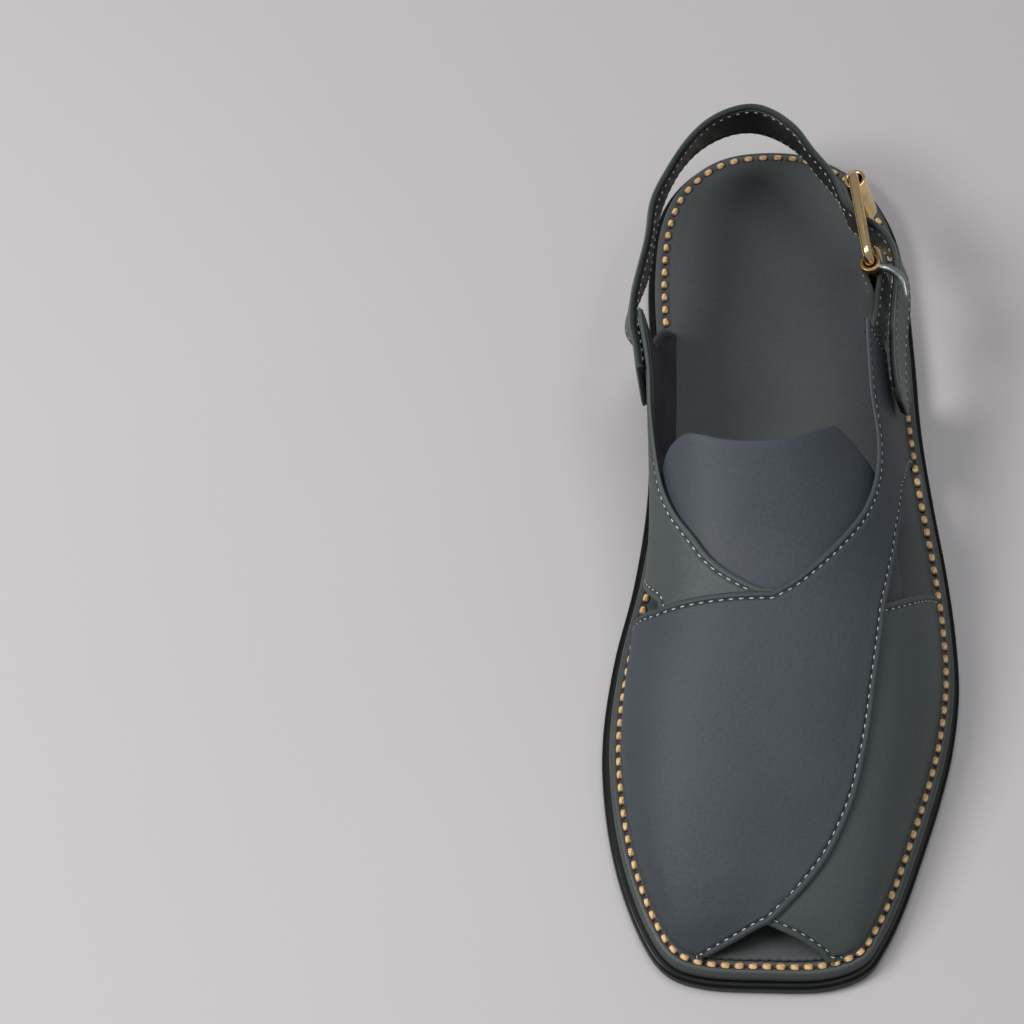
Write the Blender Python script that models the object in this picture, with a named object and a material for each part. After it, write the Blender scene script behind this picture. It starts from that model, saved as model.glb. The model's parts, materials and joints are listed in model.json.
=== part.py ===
"""Left shoe of a pair of embroidered chappals: a flat sandal with crossed panels and a heel strap.

Metres. +Z is up, the toe points along -Y, the lateral (outer) side is +X.
Stations run from the toe (0) to the heel (1) as shares of LENGTH. Angles on the last run in
degrees from the lateral foot line (0) over the crown (90) to the medial foot line (180).
"""
import math

import bmesh
import bpy
import numpy as np

MM = 0.001

# Sole
LENGTH = 0.292
BALL_WIDTH = 0.108
OUTSOLE_THICK = 4.5 * MM
BOARD_THICK = 4.5 * MM
FOOTBED_THICK = 1.2 * MM
GAP = 0.3 * MM
BOARD_INSET = 2.0 * MM
FOOTBED_INSET = 6.6 * MM
OUTSOLE_EDGE = 0.5 * MM
BOARD_EDGE = 1.7 * MM
FOOTBED_EDGE = 0.35 * MM

# Upper
UPPER_INSET = 6.2 * MM
PANEL_WALL = 2.0 * MM
OVERLAP_STEP = 1.2 * MM
OVERLAP_SINK = 1.0 * MM
OVER_FOOT_LIFT = 0.4 * MM
TOE_WALL_SHARE = 0.42
TOE_WALL_REACH = 0.022
INSTEP_HEIGHT = 0.057

# Tongue
TONGUE_THICK = 1.8 * MM
TONGUE_CLEARANCE = 0.45 * MM
TONGUE_START = 0.34

# Heel strap
STRAP_WIDTH = 0.024
STRAP_BUCKLE_WIDTH = 0.0205
STRAP_HEIGHT = 0.041
STRAP_THICK = 2.2 * MM
STRAP_CLEARANCE = 0.5 * MM

# Buckle
FRAME_REACH = 0.0317
FRAME_HEIGHT = 0.0270
FRAME_ROD = 1.6 * MM
FRAME_CORNER = 3.2 * MM
ROLLER_RADIUS = 3.4 * MM
ROLLER_WALL = 1.1 * MM
ROLLER_HEIGHT = 0.0195
LOOP_WALL = 1.5 * MM
LOOP_HEIGHT = 0.0160
LOOP_TAIL = 0.0212
LOOP_BEND = 3.2 * MM
PRONG_ROD = 1.05 * MM
PRONG_REACH = 0.0165
PRONG_HEIGHT = 2.6 * MM
BUCKLE_LEAN = 0.30
FRONT_BAR = (0.25278 * BALL_WIDTH, 0.743151 * LENGTH, 0.81579 * INSTEP_HEIGHT)
REAR_BAR_SHIFT = -3.4 * MM

SOLE_TOP = OUTSOLE_THICK + GAP + BOARD_THICK
UPPER_FOOT = SOLE_TOP + GAP + FOOTBED_THICK + GAP

# Sole outline, going round from the toe by the lateral side: share of BALL_WIDTH, share of LENGTH
OUTLINE = (
    (-0.287, 0.005), (-0.120, 0.001), (0.046, 0.002), (0.161, 0.017), (0.221, 0.045),
    (0.278, 0.087), (0.338, 0.144), (0.394, 0.202), (0.438, 0.259), (0.466, 0.322),
    (0.469, 0.384), (0.457, 0.459), (0.431, 0.548), (0.411, 0.637), (0.406, 0.733),
    (0.394, 0.836), (0.357, 0.906), (0.269, 0.962), (0.120, 0.995), (-0.046, 1.000),
    (-0.185, 0.986), (-0.296, 0.949), (-0.359, 0.897), (-0.383, 0.822), (-0.381, 0.733),
    (-0.388, 0.637), (-0.405, 0.541), (-0.446, 0.449), (-0.504, 0.363), (-0.539, 0.281),
    (-0.541, 0.212), (-0.515, 0.137), (-0.459, 0.067), (-0.389, 0.022),
)

# Sections of the last: station, height share of INSTEP_HEIGHT, lean medial, lean lateral, roundness
SECTIONS = (
    (0.0260, 0.036, 0.10, 0.10, 2.60),
    (0.036, 0.104, 0.10, 0.10, 2.58),
    (0.046, 0.160, 0.10, 0.10, 2.57),
    (0.075, 0.254, 0.11, 0.11, 2.52),
    (0.110, 0.333, 0.12, 0.12, 2.46),
    (0.154, 0.421, 0.13, 0.13, 2.38),
    (0.205, 0.509, 0.14, 0.14, 2.31),
    (0.257, 0.588, 0.16, 0.15, 2.26),
    (0.308, 0.658, 0.18, 0.17, 2.21),
    (0.360, 0.719, 0.21, 0.19, 2.18),
    (0.414, 0.789, 0.26, 0.21, 2.15),
    (0.462, 0.886, 0.31, 0.23, 2.17),
    (0.514, 1.000, 0.36, 0.25, 2.20),
    (0.565, 1.140, 0.36, 0.26, 2.28),
    (0.616, 1.368, 0.315, 0.27, 2.35),
    (0.685, 1.754, 0.325, 0.27, 2.41),
    (0.770, 2.193, 0.340, 0.27, 2.46),
)

# Edges of the panels: station, angle of throat lateral, lower edge lateral, throat medial,
# lower edge medial
EDGES = (
    (0.024, 90.0, 112.0, 90.0, 136.0),
    (0.046, 90.0, 91.0, 90.0, 136.0),
    (0.060, 90.0, 84.0, 90.0, 136.0),
    (0.084, 90.0, 73.0, 90.0, 136.0),
    (0.108, 90.0, 65.0, 90.0, 136.0),
    (0.132, 90.0, 60.0, 90.0, 136.0),
    (0.156, 90.0, 56.5, 90.0, 136.0),
    (0.208, 90.0, 54.0, 90.0, 136.0),
    (0.274, 90.0, 53.0, 90.0, 136.0),
    (0.336, 90.0, 50.0, 90.0, 136.0),
    (0.361, 90.0, 48.0, 90.0, 137.0),
    (0.372, 84.0, 46.5, 97.0, 139.0),
    (0.386, 78.0, 44.5, 105.0, 143.0),
    (0.401, 72.0, 42.5, 111.5, 147.0),
    (0.425, 63.0, 38.5, 119.0, 152.0),
    (0.454, 53.0, 34.0, 128.5, 157.0),
    (0.485, 45.0, 27.5, 135.5, 161.0),
    (0.514, 39.4, 22.0, 138.9, 163.5),
    (0.541, 36.1, 18.0, 141.4, 165.0),
    (0.586, 34.3, 15.5, 145.1, 165.6),
    (0.623, 30.9, 14.3, 148.7, 166.1),
    (0.658, 27.6, 13.4, 152.7, 167.5),
    (0.699, 23.6, 11.7, 158.8, 169.8),
    (0.740, 20.2, 10.0, 164.0, 172.0),
)

# Tongue's end: angle, station
TONGUE_END = (
    (32.0, 0.505), (40.0, 0.521), (47.0, 0.531), (53.0, 0.537), (60.0, 0.530), (70.0, 0.518),
    (82.0, 0.509), (92.0, 0.507), (101.0, 0.510), (110.0, 0.517), (118.0, 0.522),
    (126.0, 0.521), (134.0, 0.518), (143.0, 0.507),
)

# Heel strap's start on the medial arm: station, height above the foot line as a share of
# INSTEP_HEIGHT
STRAP_ARM = ((0.610, 0.6228), (0.640, 0.6316), (0.668, 0.6316))

# Heel strap's middle line from the medial arm round the heel: share of BALL_WIDTH,
# share of LENGTH, share of STRAP_HEIGHT, inward lean of the top, width from wide (0) to narrow (1)
STRAP_HEEL = (
    (-0.4520, 0.7060, 1.120, 0.06, 0.0),
    (-0.406, 0.7700, 1.110, 0.00, 0.0),
    (-0.385, 0.8220, 1.083, 0.00, 0.0),
    (-0.343, 0.8700, 1.054, 0.12, 0.0),
    (-0.289, 0.9100, 1.033, 0.19, 0.0),
    (-0.225, 0.9390, 1.016, 0.23, 0.0),
    (-0.148, 0.9570, 1.004, 0.26, 0.0),
    (-0.074, 0.9615, 1.000, 0.27, 0.1),
    (-0.005, 0.9510, 1.005, 0.28, 0.3),
    (0.056, 0.9280, 1.030, 0.29, 0.6),
)

# Strap through the buckle to its free end: rearward, outward and upward of the front bar as
# shares of FRAME_REACH
STRAP_BUCKLE = (
    (1.50, -0.380, 0.020),
    (1.21, -0.245, 0.015),
    (1.00, -0.187, 0.010),
    (0.80, -0.150, 0.005),
    (0.63, -0.040, 0.000),
    (0.47, 0.105, -0.010),
    (0.31, 0.200, -0.045),
    (0.12, 0.238, -0.090),
    (-0.12, 0.205, -0.145),
    (-0.36, 0.135, -0.195),
    (-0.64, 0.066, -0.245),
    (-0.92, 0.020, -0.285),
    (-1.16, -0.005, -0.315),
    (-1.32, -0.015, -0.335),
)

# Toe opening between the panels: share of BALL_WIDTH from the toe's middle, station
TOE_OPENING = (
    (0.186, 0.0130),
    (0.172, 0.0225),
    (0.090, 0.0360),
    (-0.003, 0.0478),
    (-0.088, 0.0345),
    (-0.178, 0.0225),
    (-0.190, 0.0130),
)
TOE_MIDDLE = -0.118

# Prong from its eye to its tip: rearward and outward of the front bar as shares of PRONG_REACH
PRONG_SHAPE = ((-0.10, 0.14), (-0.26, 0.36), (-0.54, 0.53), (-0.88, 0.55))

V_STATION = 0.3613
V_UNDER_STATION = 0.3655
TOE_OVER_STATION = 0.0292
B_REAR_SLANT = 18.0 * MM
LEG_LATERAL = (0.505, 0.640)
LEG_LATERAL_SLANT = (22.0 * MM, 6.0 * MM)
LEG_MEDIAL = (0.3720, 0.684)
LEG_MEDIAL_SLANT = (20.0 * MM, 19.0 * MM)
ARM_LATERAL_END = 0.668

STATIONS = (
    0.0260, 0.0292, 0.035, 0.041, 0.048, 0.055, 0.064, 0.078, 0.096, 0.118, 0.144, 0.174, 0.206, 0.240,
    0.274, 0.306, 0.336, 0.3613, 0.3655, 0.3720, 0.384, 0.398, 0.416, 0.438, 0.462, 0.484, 0.505,
    0.530, 0.556, 0.584, 0.612, 0.640, 0.668, 0.684,
)

UNDER_SHIFT = 0.0040
UNDER_LIP = 0.0019
UNDER_TURN = -3.0

LATERAL_LOWER = 5
LATERAL_UPPER = 8
MEDIAL_UPPER = 8
MEDIAL_LOWER = 5

MATERIALS = {
    "outsole_rubber": ((0.006, 0.008, 0.007), 0.18, 0.0),
    "welt_leather": ((0.055, 0.065, 0.060), 0.45, 0.0),
    "footbed_leather": ((0.037, 0.044, 0.044), 0.50, 0.0),
    "panel_leather": ((0.058, 0.070, 0.077), 0.48, 0.0),
    "tongue_leather": ((0.068, 0.083, 0.095), 0.50, 0.0),
    "strap_leather": ((0.062, 0.075, 0.075), 0.42, 0.0),
    "gold_metal": ((0.780, 0.610, 0.330), 0.22, 1.0),
    "steel_metal": ((0.560, 0.570, 0.580), 0.24, 1.0),
}


def clear_scene():
    for obj in list(bpy.data.objects):
        bpy.data.objects.remove(obj, do_unlink=True)


def make_material(name):
    color, roughness, metallic = MATERIALS[name]
    mat = bpy.data.materials.new(name)
    mat.use_nodes = True
    shader = mat.node_tree.nodes["Principled BSDF"]
    shader.inputs["Base Color"].default_value = (*color, 1.0)
    shader.inputs["Roughness"].default_value = roughness
    shader.inputs["Metallic"].default_value = metallic
    return mat


def add_object(name, mesh, material, collection):
    obj = bpy.data.objects.new(name, mesh)
    collection.objects.link(obj)
    mesh.materials.append(material)
    for poly in mesh.polygons:
        poly.use_smooth = False
    return obj


def mesh_from(name, verts, faces):
    """A closed mesh with its normals facing out."""
    mesh = bpy.data.meshes.new(name)
    mesh.from_pydata([tuple(v) for v in verts], [], faces)
    bm = bmesh.new()
    bm.from_mesh(mesh)
    bmesh.ops.recalc_face_normals(bm, faces=bm.faces[:])
    bm.to_mesh(mesh)
    bm.free()
    return mesh


def smooth_table(rows, column):
    """Hermite curve through one column of a table, by its first column."""
    data = np.array(rows, float)
    xs = data[:, 0]
    ys = data[:, column]
    slopes = np.gradient(ys, xs)

    def value(x):
        x = min(max(x, xs[0]), xs[-1])
        i = int(min(max(np.searchsorted(xs, x) - 1, 0), len(xs) - 2))
        step = xs[i + 1] - xs[i]
        t = (x - xs[i]) / step
        start = (1 + 2 * t) * (1 - t) ** 2 * ys[i] + t * (1 - t) ** 2 * step * slopes[i]
        end = t * t * (3 - 2 * t) * ys[i + 1] + t * t * (t - 1) * step * slopes[i + 1]
        return start + end

    return value


def closed_loop(points, per):
    """Closed smooth curve through the points, with `per` vertices a span."""
    pts = np.array(points, float)
    count = len(pts)
    out = []
    for i in range(count):
        a, b, c, d = pts[i - 1], pts[i], pts[(i + 1) % count], pts[(i + 2) % count]
        for k in range(per):
            t = k / per
            cubic = (3 * b - a - 3 * c + d) * t ** 3
            out.append(0.5 * (2 * b + (c - a) * t + (2 * a - 5 * b + 4 * c - d) * t * t + cubic))
    return np.array(out)


def inset_loop(loop, distance):
    """The loop moved inward by a distance."""
    along = np.roll(loop, -1, 0) - np.roll(loop, 1, 0)
    along /= np.linalg.norm(along, axis=1)[:, None]
    inward = np.stack([-along[:, 1], along[:, 0]], axis=1)
    return loop + inward * distance


def sole_loop(per):
    """The sole's outline in the part's frame, centred on X and Y."""
    loop = closed_loop([(x * BALL_WIDTH, y * LENGTH) for x, y in OUTLINE], per)
    middle = (loop[:, 0].max() + loop[:, 0].min()) / 2
    loop[:, 0] -= middle
    loop[:, 1] -= LENGTH / 2
    return loop, middle


def span_at(loop, y):
    """Medial and lateral X of the loop at one Y."""
    xs = []
    for i in range(len(loop)):
        a = loop[i]
        b = loop[(i + 1) % len(loop)]
        if (a[1] - y) * (b[1] - y) < 0:
            xs.append(a[0] + (y - a[1]) / (b[1] - a[1]) * (b[0] - a[0]))
    return min(xs), max(xs)


class Last:
    """The shape the panels are pulled over: an arch across each station."""

    def __init__(self):
        fine, self.middle = sole_loop(12)
        self.foot = inset_loop(fine, UPPER_INSET)
        self.height = smooth_table(SECTIONS, 1)
        self.lean_medial = smooth_table(SECTIONS, 2)
        self.lean_lateral = smooth_table(SECTIONS, 3)
        self.roundness = smooth_table(SECTIONS, 4)

    def point(self, station, angle):
        y = station * LENGTH - LENGTH / 2
        medial, lateral = span_at(self.foot, y)
        cosine = math.cos(math.radians(angle))
        sine = math.sin(math.radians(angle))
        power = 2 / self.roundness(station)
        rise = self.height(station) * INSTEP_HEIGHT * abs(sine) ** power
        share = (1 - cosine) / 2
        lean = self.lean_medial(station) * share + self.lean_lateral(station) * (1 - share)
        reach = (lateral - medial) / 2 * math.copysign(abs(cosine) ** power, cosine)
        return np.array([(medial + lateral) / 2 + reach - lean * rise, y, UPPER_FOOT + rise])

    def normal(self, station, angle):
        step = 0.002
        turn = 1.2
        before = max(angle - turn, 0.2)
        after = min(angle + turn, 179.8)
        along = self.point(station + step, angle) - self.point(station - step, angle)
        across = self.point(station, after) - self.point(station, before)
        normal = np.cross(across, along)
        normal /= np.linalg.norm(normal)
        outward = np.array([math.cos(math.radians(angle)), 0.0, math.sin(math.radians(angle))])
        return normal if normal @ outward > 0 else -normal

    def angle_at(self, station, height, side):
        """Angle on the lateral (+1) or medial (-1) side at a height above the foot line."""
        share = height / (self.height(station) * INSTEP_HEIGHT)
        sine = min(1.0, max(0.0, share)) ** (self.roundness(station) / 2)
        angle = math.degrees(math.asin(sine))
        return angle if side > 0 else 180.0 - angle


class PanelGrid:
    """Nodes of the panels on the last: stations along the foot, angles across it."""

    def __init__(self, last, stations, v_station, turn):
        self.last = last
        self.stations = stations
        self.v_row = stations.index(v_station)
        throat_lateral = smooth_table(EDGES, 1)
        lower_lateral = smooth_table(EDGES, 2)
        throat_medial = smooth_table(EDGES, 3)
        lower_medial = smooth_table(EDGES, 4)
        self.rows = []
        for index, station in enumerate(stations):
            open_throat = index > self.v_row
            top_lateral = throat_lateral(station) if open_throat else 90.0
            top_medial = throat_medial(station) if open_throat else 90.0
            low_lateral = min(lower_lateral(station), 108.0) + turn
            if low_lateral > top_lateral - 3.0:
                top_lateral = low_lateral + 3.0
                top_medial = max(top_medial, top_lateral)
            self.rows.append(self.row(station, low_lateral, top_lateral, top_medial,
                                      lower_medial(station)))
        self.split = LATERAL_LOWER + LATERAL_UPPER

    def row(self, station, low_lateral, top_lateral, top_medial, low_medial):
        lateral_slant = slant_at(station, LEG_LATERAL, LEG_LATERAL_SLANT, B_REAR_SLANT)
        medial_slant = slant_at(station, LEG_MEDIAL, LEG_MEDIAL_SLANT, 0.0)
        nodes = []
        for k in range(LATERAL_LOWER + 1):
            share = k / LATERAL_LOWER
            nodes.append((station + lateral_slant * (1 - share) / LENGTH, low_lateral * share))
        for k in range(1, LATERAL_UPPER + 1):
            share = k / LATERAL_UPPER
            nodes.append((station, low_lateral + (top_lateral - low_lateral) * share))
        for k in range(MEDIAL_UPPER + 1):
            share = k / MEDIAL_UPPER
            nodes.append((station, top_medial + (low_medial - top_medial) * share))
        for k in range(1, MEDIAL_LOWER + 1):
            share = k / MEDIAL_LOWER
            nodes.append((station + medial_slant * share / LENGTH,
                          low_medial + (180.0 - low_medial) * share))
        return nodes

    def key(self, row, column):
        if column == self.split + 1 and row <= self.v_row:
            return row, self.split
        return row, column

    def cells(self, allowed):
        out = []
        for row in range(len(self.rows) - 1):
            for column in range(len(self.rows[0]) - 1):
                if column != self.split and allowed(row, column):
                    out.append((row, column))
        return out

    def solid(self, name, allowed, low, high, foot_lift):
        """Closed wall between two offsets from the last over the allowed cells."""
        last_column = len(self.rows[0]) - 1
        index = {}
        verts = []

        def vertex(key, layer):
            if (key, layer) not in index:
                station, angle = self.rows[key[0]][key[1]]
                point = self.last.point(station, angle)
                normal = self.last.normal(station, angle)
                if key[1] in (0, last_column):
                    side = 1.0 if key[1] == 0 else -1.0
                    normal = np.array([side, 0.0, 0.0])
                    point[2] += foot_lift
                index[(key, layer)] = len(verts)
                back = self.stations[key[0]] - self.stations[0]
                grown = min(1.0, back / TOE_WALL_REACH)
                depth = low * (TOE_WALL_SHARE + (1 - TOE_WALL_SHARE) * grown)
                verts.append(point + normal * (high if layer else depth))
            return index[(key, layer)]

        faces = []
        edges = {}
        for row, column in self.cells(allowed):
            ring = [self.key(row, column), self.key(row, column + 1),
                    self.key(row + 1, column + 1), self.key(row + 1, column)]
            faces.append([vertex(k, 1) for k in ring])
            faces.append([vertex(k, 0) for k in reversed(ring)])
            for a, b in zip(ring, ring[1:] + ring[:1]):
                edges[(a, b)] = True
        for a, b in edges:
            if (b, a) not in edges:
                faces.append([vertex(b, 1), vertex(a, 1), vertex(a, 0), vertex(b, 0)])
        return mesh_from(name, verts, faces)


def slant_at(station, leg, slants, front_slant):
    """How far a lower edge reaches back at the foot line, in metres."""
    if station <= V_UNDER_STATION:
        share = min(1.0, max(0.0, (station - 0.20) / (V_UNDER_STATION - 0.20)))
        return front_slant * share
    if station <= leg[0]:
        return slants[0]
    share = min(1.0, (station - leg[0]) / (leg[1] - leg[0]))
    return slants[0] + (slants[1] - slants[0]) * share


def apply_modifiers(obj):
    graph = bpy.context.evaluated_depsgraph_get()
    mesh = bpy.data.meshes.new_from_object(obj.evaluated_get(graph))
    obj.modifiers.clear()
    obj.data = mesh


def combine(obj, other, operation):
    """Boolean of the object with another, which is removed."""
    modifier = obj.modifiers.new(operation.title(), "BOOLEAN")
    modifier.object = other
    modifier.operation = operation
    modifier.solver = "EXACT"
    apply_modifiers(obj)
    bpy.data.objects.remove(other, do_unlink=True)


def under_stations():
    """Stations of the lower panel, set between those of the upper one."""
    shifted = []
    for station in STATIONS:
        if TOE_OVER_STATION <= station < V_STATION:
            station += UNDER_SHIFT
        elif station == V_STATION:
            station += UNDER_LIP
        shifted.append(station)
    return tuple(shifted)


def build_upper(last, material, parts, cutters):
    """Both crossed panels with their arms and legs, one hollow wall with a step at the overlap."""
    split = LATERAL_LOWER + LATERAL_UPPER
    first_medial_lower = split + 1 + MEDIAL_UPPER
    v_over = STATIONS.index(V_STATION)
    v_under = STATIONS.index(V_UNDER_STATION)
    leg_lateral = [STATIONS.index(s) for s in LEG_LATERAL]
    leg_medial = STATIONS.index(LEG_MEDIAL[0])
    over_start = STATIONS.index(TOE_OVER_STATION)
    arm_end = STATIONS.index(ARM_LATERAL_END)

    def under_allowed(row, column):
        if column < split:
            return row < v_under
        if column < first_medial_lower:
            return True
        return row < v_over or row >= leg_medial

    def over_allowed(row, column):
        if row < over_start:
            return False
        if column < LATERAL_LOWER:
            return leg_lateral[0] <= row < leg_lateral[1]
        if column < split:
            return row < arm_end
        return row < v_over

    under_grid = PanelGrid(last, under_stations(), V_UNDER_STATION, UNDER_TURN)
    over_grid = PanelGrid(last, STATIONS, V_STATION, 0.0)
    under = under_grid.solid("upper", under_allowed, -PANEL_WALL, 0.0, 0.0)
    over = over_grid.solid("panel_over", over_allowed, -OVERLAP_SINK, OVERLAP_STEP, OVER_FOOT_LIFT)
    upper = add_object("upper", under, material, parts)
    over_obj = add_object("panel_over", over, material, cutters)
    combine(upper, over_obj, "UNION")
    opening = [((x + TOE_MIDDLE) * BALL_WIDTH - last.middle, y * LENGTH - LENGTH / 2)
               for x, y in TOE_OPENING]
    cutter = plate("toe_opening", opening, SOLE_TOP, INSTEP_HEIGHT, 0.0, 0.0)
    combine(upper, add_object("toe_opening", cutter, material, cutters), "DIFFERENCE")


def plate(name, loop, bottom, top, top_edge, bottom_edge):
    """A flat plate inside a closed loop with bevelled rims."""
    bm = bmesh.new()
    verts = [bm.verts.new((x, y, bottom)) for x, y in loop]
    face = bm.faces.new(verts)
    out = bmesh.ops.extrude_face_region(bm, geom=[face])
    moved = [g for g in out["geom"] if isinstance(g, bmesh.types.BMVert)]
    bmesh.ops.translate(bm, verts=moved, vec=(0.0, 0.0, top - bottom))
    bmesh.ops.recalc_face_normals(bm, faces=bm.faces[:])

    def rim(height, width, segments):
        edges = [e for e in bm.edges if all(abs(v.co.z - height) < GAP / 10 for v in e.verts)]
        bmesh.ops.bevel(bm, geom=edges, offset=width, segments=segments, profile=0.5,
                        affect="EDGES", material=-1)

    if top_edge:
        rim(top, top_edge, 3 if top_edge > MM else 1)
    if bottom_edge:
        rim(bottom, bottom_edge, 1)
    mesh = bpy.data.meshes.new(name)
    bm.to_mesh(mesh)
    bm.free()
    return mesh


def build_sole(materials, parts):
    loop, _ = sole_loop(3)
    outsole = plate("outsole", loop, 0.0, OUTSOLE_THICK, OUTSOLE_EDGE, OUTSOLE_EDGE)
    add_object("outsole", outsole, materials["outsole_rubber"], parts)
    board_low = OUTSOLE_THICK + GAP
    board = plate("welt_board", inset_loop(loop, BOARD_INSET), board_low, SOLE_TOP, BOARD_EDGE, 0.0)
    add_object("welt_board", board, materials["welt_leather"], parts)
    footbed_low = SOLE_TOP + GAP
    footbed = plate("footbed", inset_loop(loop, FOOTBED_INSET), footbed_low,
                    footbed_low + FOOTBED_THICK, FOOTBED_EDGE, 0.0)
    add_object("footbed", footbed, materials["footbed_leather"], parts)


def sheet_solid(name, front, back):
    """Closed sheet between two equal grids of points."""
    rows = len(front)
    columns = len(front[0])
    verts = [p for row in front for p in row] + [p for row in back for p in row]
    offset = rows * columns
    faces = []
    for i in range(rows - 1):
        for j in range(columns - 1):
            a = i * columns + j
            ring = [a, a + 1, a + columns + 1, a + columns]
            faces.append(ring)
            faces.append([v + offset for v in reversed(ring)])
    border = [j for j in range(columns)]
    border += [i * columns + columns - 1 for i in range(1, rows)]
    border += [(rows - 1) * columns + j for j in range(columns - 2, -1, -1)]
    border += [i * columns for i in range(rows - 2, 0, -1)]
    for a, b in zip(border, border[1:] + border[:1]):
        faces.append([b, a, a + offset, b + offset])
    return mesh_from(name, verts, faces)


def build_tongue(last, material, parts):
    """A plate under the crossed panels that ends in a free shaped edge."""
    end_at = smooth_table(TONGUE_END, 1)
    first = TONGUE_END[0][0]
    final = TONGUE_END[-1][0]
    rows = 12
    columns = 22
    high = -(PANEL_WALL + TONGUE_CLEARANCE)
    low = high - TONGUE_THICK
    outer = []
    inner = []
    for i in range(rows + 1):
        outer_row = []
        inner_row = []
        for j in range(columns + 1):
            angle = first + (final - first) * j / columns
            station = TONGUE_START + (end_at(angle) - TONGUE_START) * i / rows
            point = last.point(station, angle)
            normal = last.normal(station, angle)
            outer_row.append(point + normal * high)
            inner_row.append(point + normal * low)
        outer.append(outer_row)
        inner.append(inner_row)
    add_object("tongue", sheet_solid("tongue", outer, inner), material, parts)


def open_curve(points, per):
    """Smooth curve through points of any number of columns."""
    pts = np.array(points, float)
    padded = np.vstack([2 * pts[0] - pts[1], pts, 2 * pts[-1] - pts[-2]])
    out = []
    for i in range(1, len(padded) - 2):
        a, b, c, d = padded[i - 1:i + 3]
        for k in range(per):
            t = k / per
            cubic = (3 * b - a - 3 * c + d) * t ** 3
            out.append(0.5 * (2 * b + (c - a) * t + (2 * a - 5 * b + 4 * c - d) * t * t + cubic))
    out.append(pts[-1])
    return np.array(out)


def strap_line(last, axes):
    """Middle line of the heel strap: x, y, z, inward lean and narrowing."""
    start = []
    for station, height in STRAP_ARM:
        angle = last.angle_at(station, height * INSTEP_HEIGHT, -1)
        reach = STRAP_CLEARANCE + STRAP_THICK / 2
        normal = last.normal(station, angle)
        point = last.point(station, angle) + normal * reach
        start.append((*point, normal[2] / -normal[0], 0.0))
    heel = [(x * BALL_WIDTH - last.middle, y * LENGTH - LENGTH / 2, z * STRAP_HEIGHT, lean, narrow)
            for x, y, z, lean, narrow in STRAP_HEEL]
    end = []
    for rear, out, up in STRAP_BUCKLE:
        point = axes.at(rear * FRAME_REACH, out * FRAME_REACH, up * FRAME_REACH)
        end.append((*point, BUCKLE_LEAN, 1.0))
    return open_curve(start + heel + end, 2)


def build_strap(last, axes, material, parts):
    """A flat strap from the medial arm round the heel, through the buckle to its free end."""
    line = strap_line(last, axes)
    columns = 4
    outer = []
    inner = []
    tip_rows = 5
    tip_width = 0.45
    count = len(line)
    for i in range(count):
        x, y, z, lean, narrow = line[i]
        ahead = line[min(i + 1, count - 1)]
        behind = line[max(i - 1, 0)]
        along = np.array([ahead[0] - behind[0], ahead[1] - behind[1], 0.0])
        along /= np.linalg.norm(along)
        outward = np.array([-along[1], along[0], 0.0])
        up = np.array([0.0, 0.0, 1.0]) - outward * lean
        up /= np.linalg.norm(up)
        normal = outward - up * (outward @ up)
        normal /= np.linalg.norm(normal)
        left = min(count - 1 - i, tip_rows) / tip_rows
        rounding = tip_width + (1 - tip_width) * math.sqrt(1 - (1 - left) ** 2)
        narrowing = STRAP_WIDTH + (STRAP_BUCKLE_WIDTH - STRAP_WIDTH) * min(max(narrow, 0.0), 1.0)
        outer_row = []
        inner_row = []
        for j in range(columns + 1):
            point = np.array([x, y, z]) + up * narrowing * rounding * (j / columns - 0.5)
            outer_row.append(point + normal * STRAP_THICK / 2)
            inner_row.append(point - normal * STRAP_THICK / 2)
        outer.append(outer_row)
        inner.append(inner_row)
    add_object("heel_strap", sheet_solid("heel_strap", outer, inner), material, parts)


class BuckleAxes:
    """Axes of the buckle: up the bars, rearward along the frame and outward."""

    def __init__(self, middle):
        self.origin = np.array([FRONT_BAR[0] - middle, FRONT_BAR[1] - LENGTH / 2, FRONT_BAR[2]])
        self.up = np.array([-BUCKLE_LEAN, 0.0, 1.0])
        self.up /= np.linalg.norm(self.up)
        rear = np.array([REAR_BAR_SHIFT, math.sqrt(FRAME_REACH ** 2 - REAR_BAR_SHIFT ** 2), 0.0])
        rear -= self.up * (rear @ self.up)
        self.rear = rear / np.linalg.norm(rear)
        self.out = np.cross(self.rear, self.up)

    def at(self, rear, out, up):
        return self.origin + self.rear * rear + self.out * out + self.up * up


def tube_path(name, points, radius, cyclic, sides):
    """A round rod along a path of points as a closed mesh."""
    pts = [np.array(p) for p in points]
    count = len(pts)
    verts = []
    frame = None
    for i in range(count):
        if cyclic:
            along = pts[(i + 1) % count] - pts[i - 1]
        else:
            along = pts[min(i + 1, count - 1)] - pts[max(i - 1, 0)]
        along = along / np.linalg.norm(along)
        if frame is None:
            seed = np.array([0.0, 0.0, 1.0]) if abs(along[2]) < 0.8 else np.array([1.0, 0.0, 0.0])
            frame = np.cross(along, seed)
        frame = frame - along * (frame @ along)
        frame /= np.linalg.norm(frame)
        second = np.cross(along, frame)
        for k in range(sides):
            turn = 2 * math.pi * k / sides
            verts.append(pts[i] + (frame * math.cos(turn) + second * math.sin(turn)) * radius)
    faces = []
    for i in range(count if cyclic else count - 1):
        for k in range(sides):
            a = i * sides + k
            b = i * sides + (k + 1) % sides
            c = ((i + 1) % count) * sides + (k + 1) % sides
            d = ((i + 1) % count) * sides + k
            faces.append([a, b, c, d])
    if not cyclic:
        faces.append(list(range(sides - 1, -1, -1)))
        faces.append([(count - 1) * sides + k for k in range(sides)])
    return mesh_from(name, verts, faces)


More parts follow.
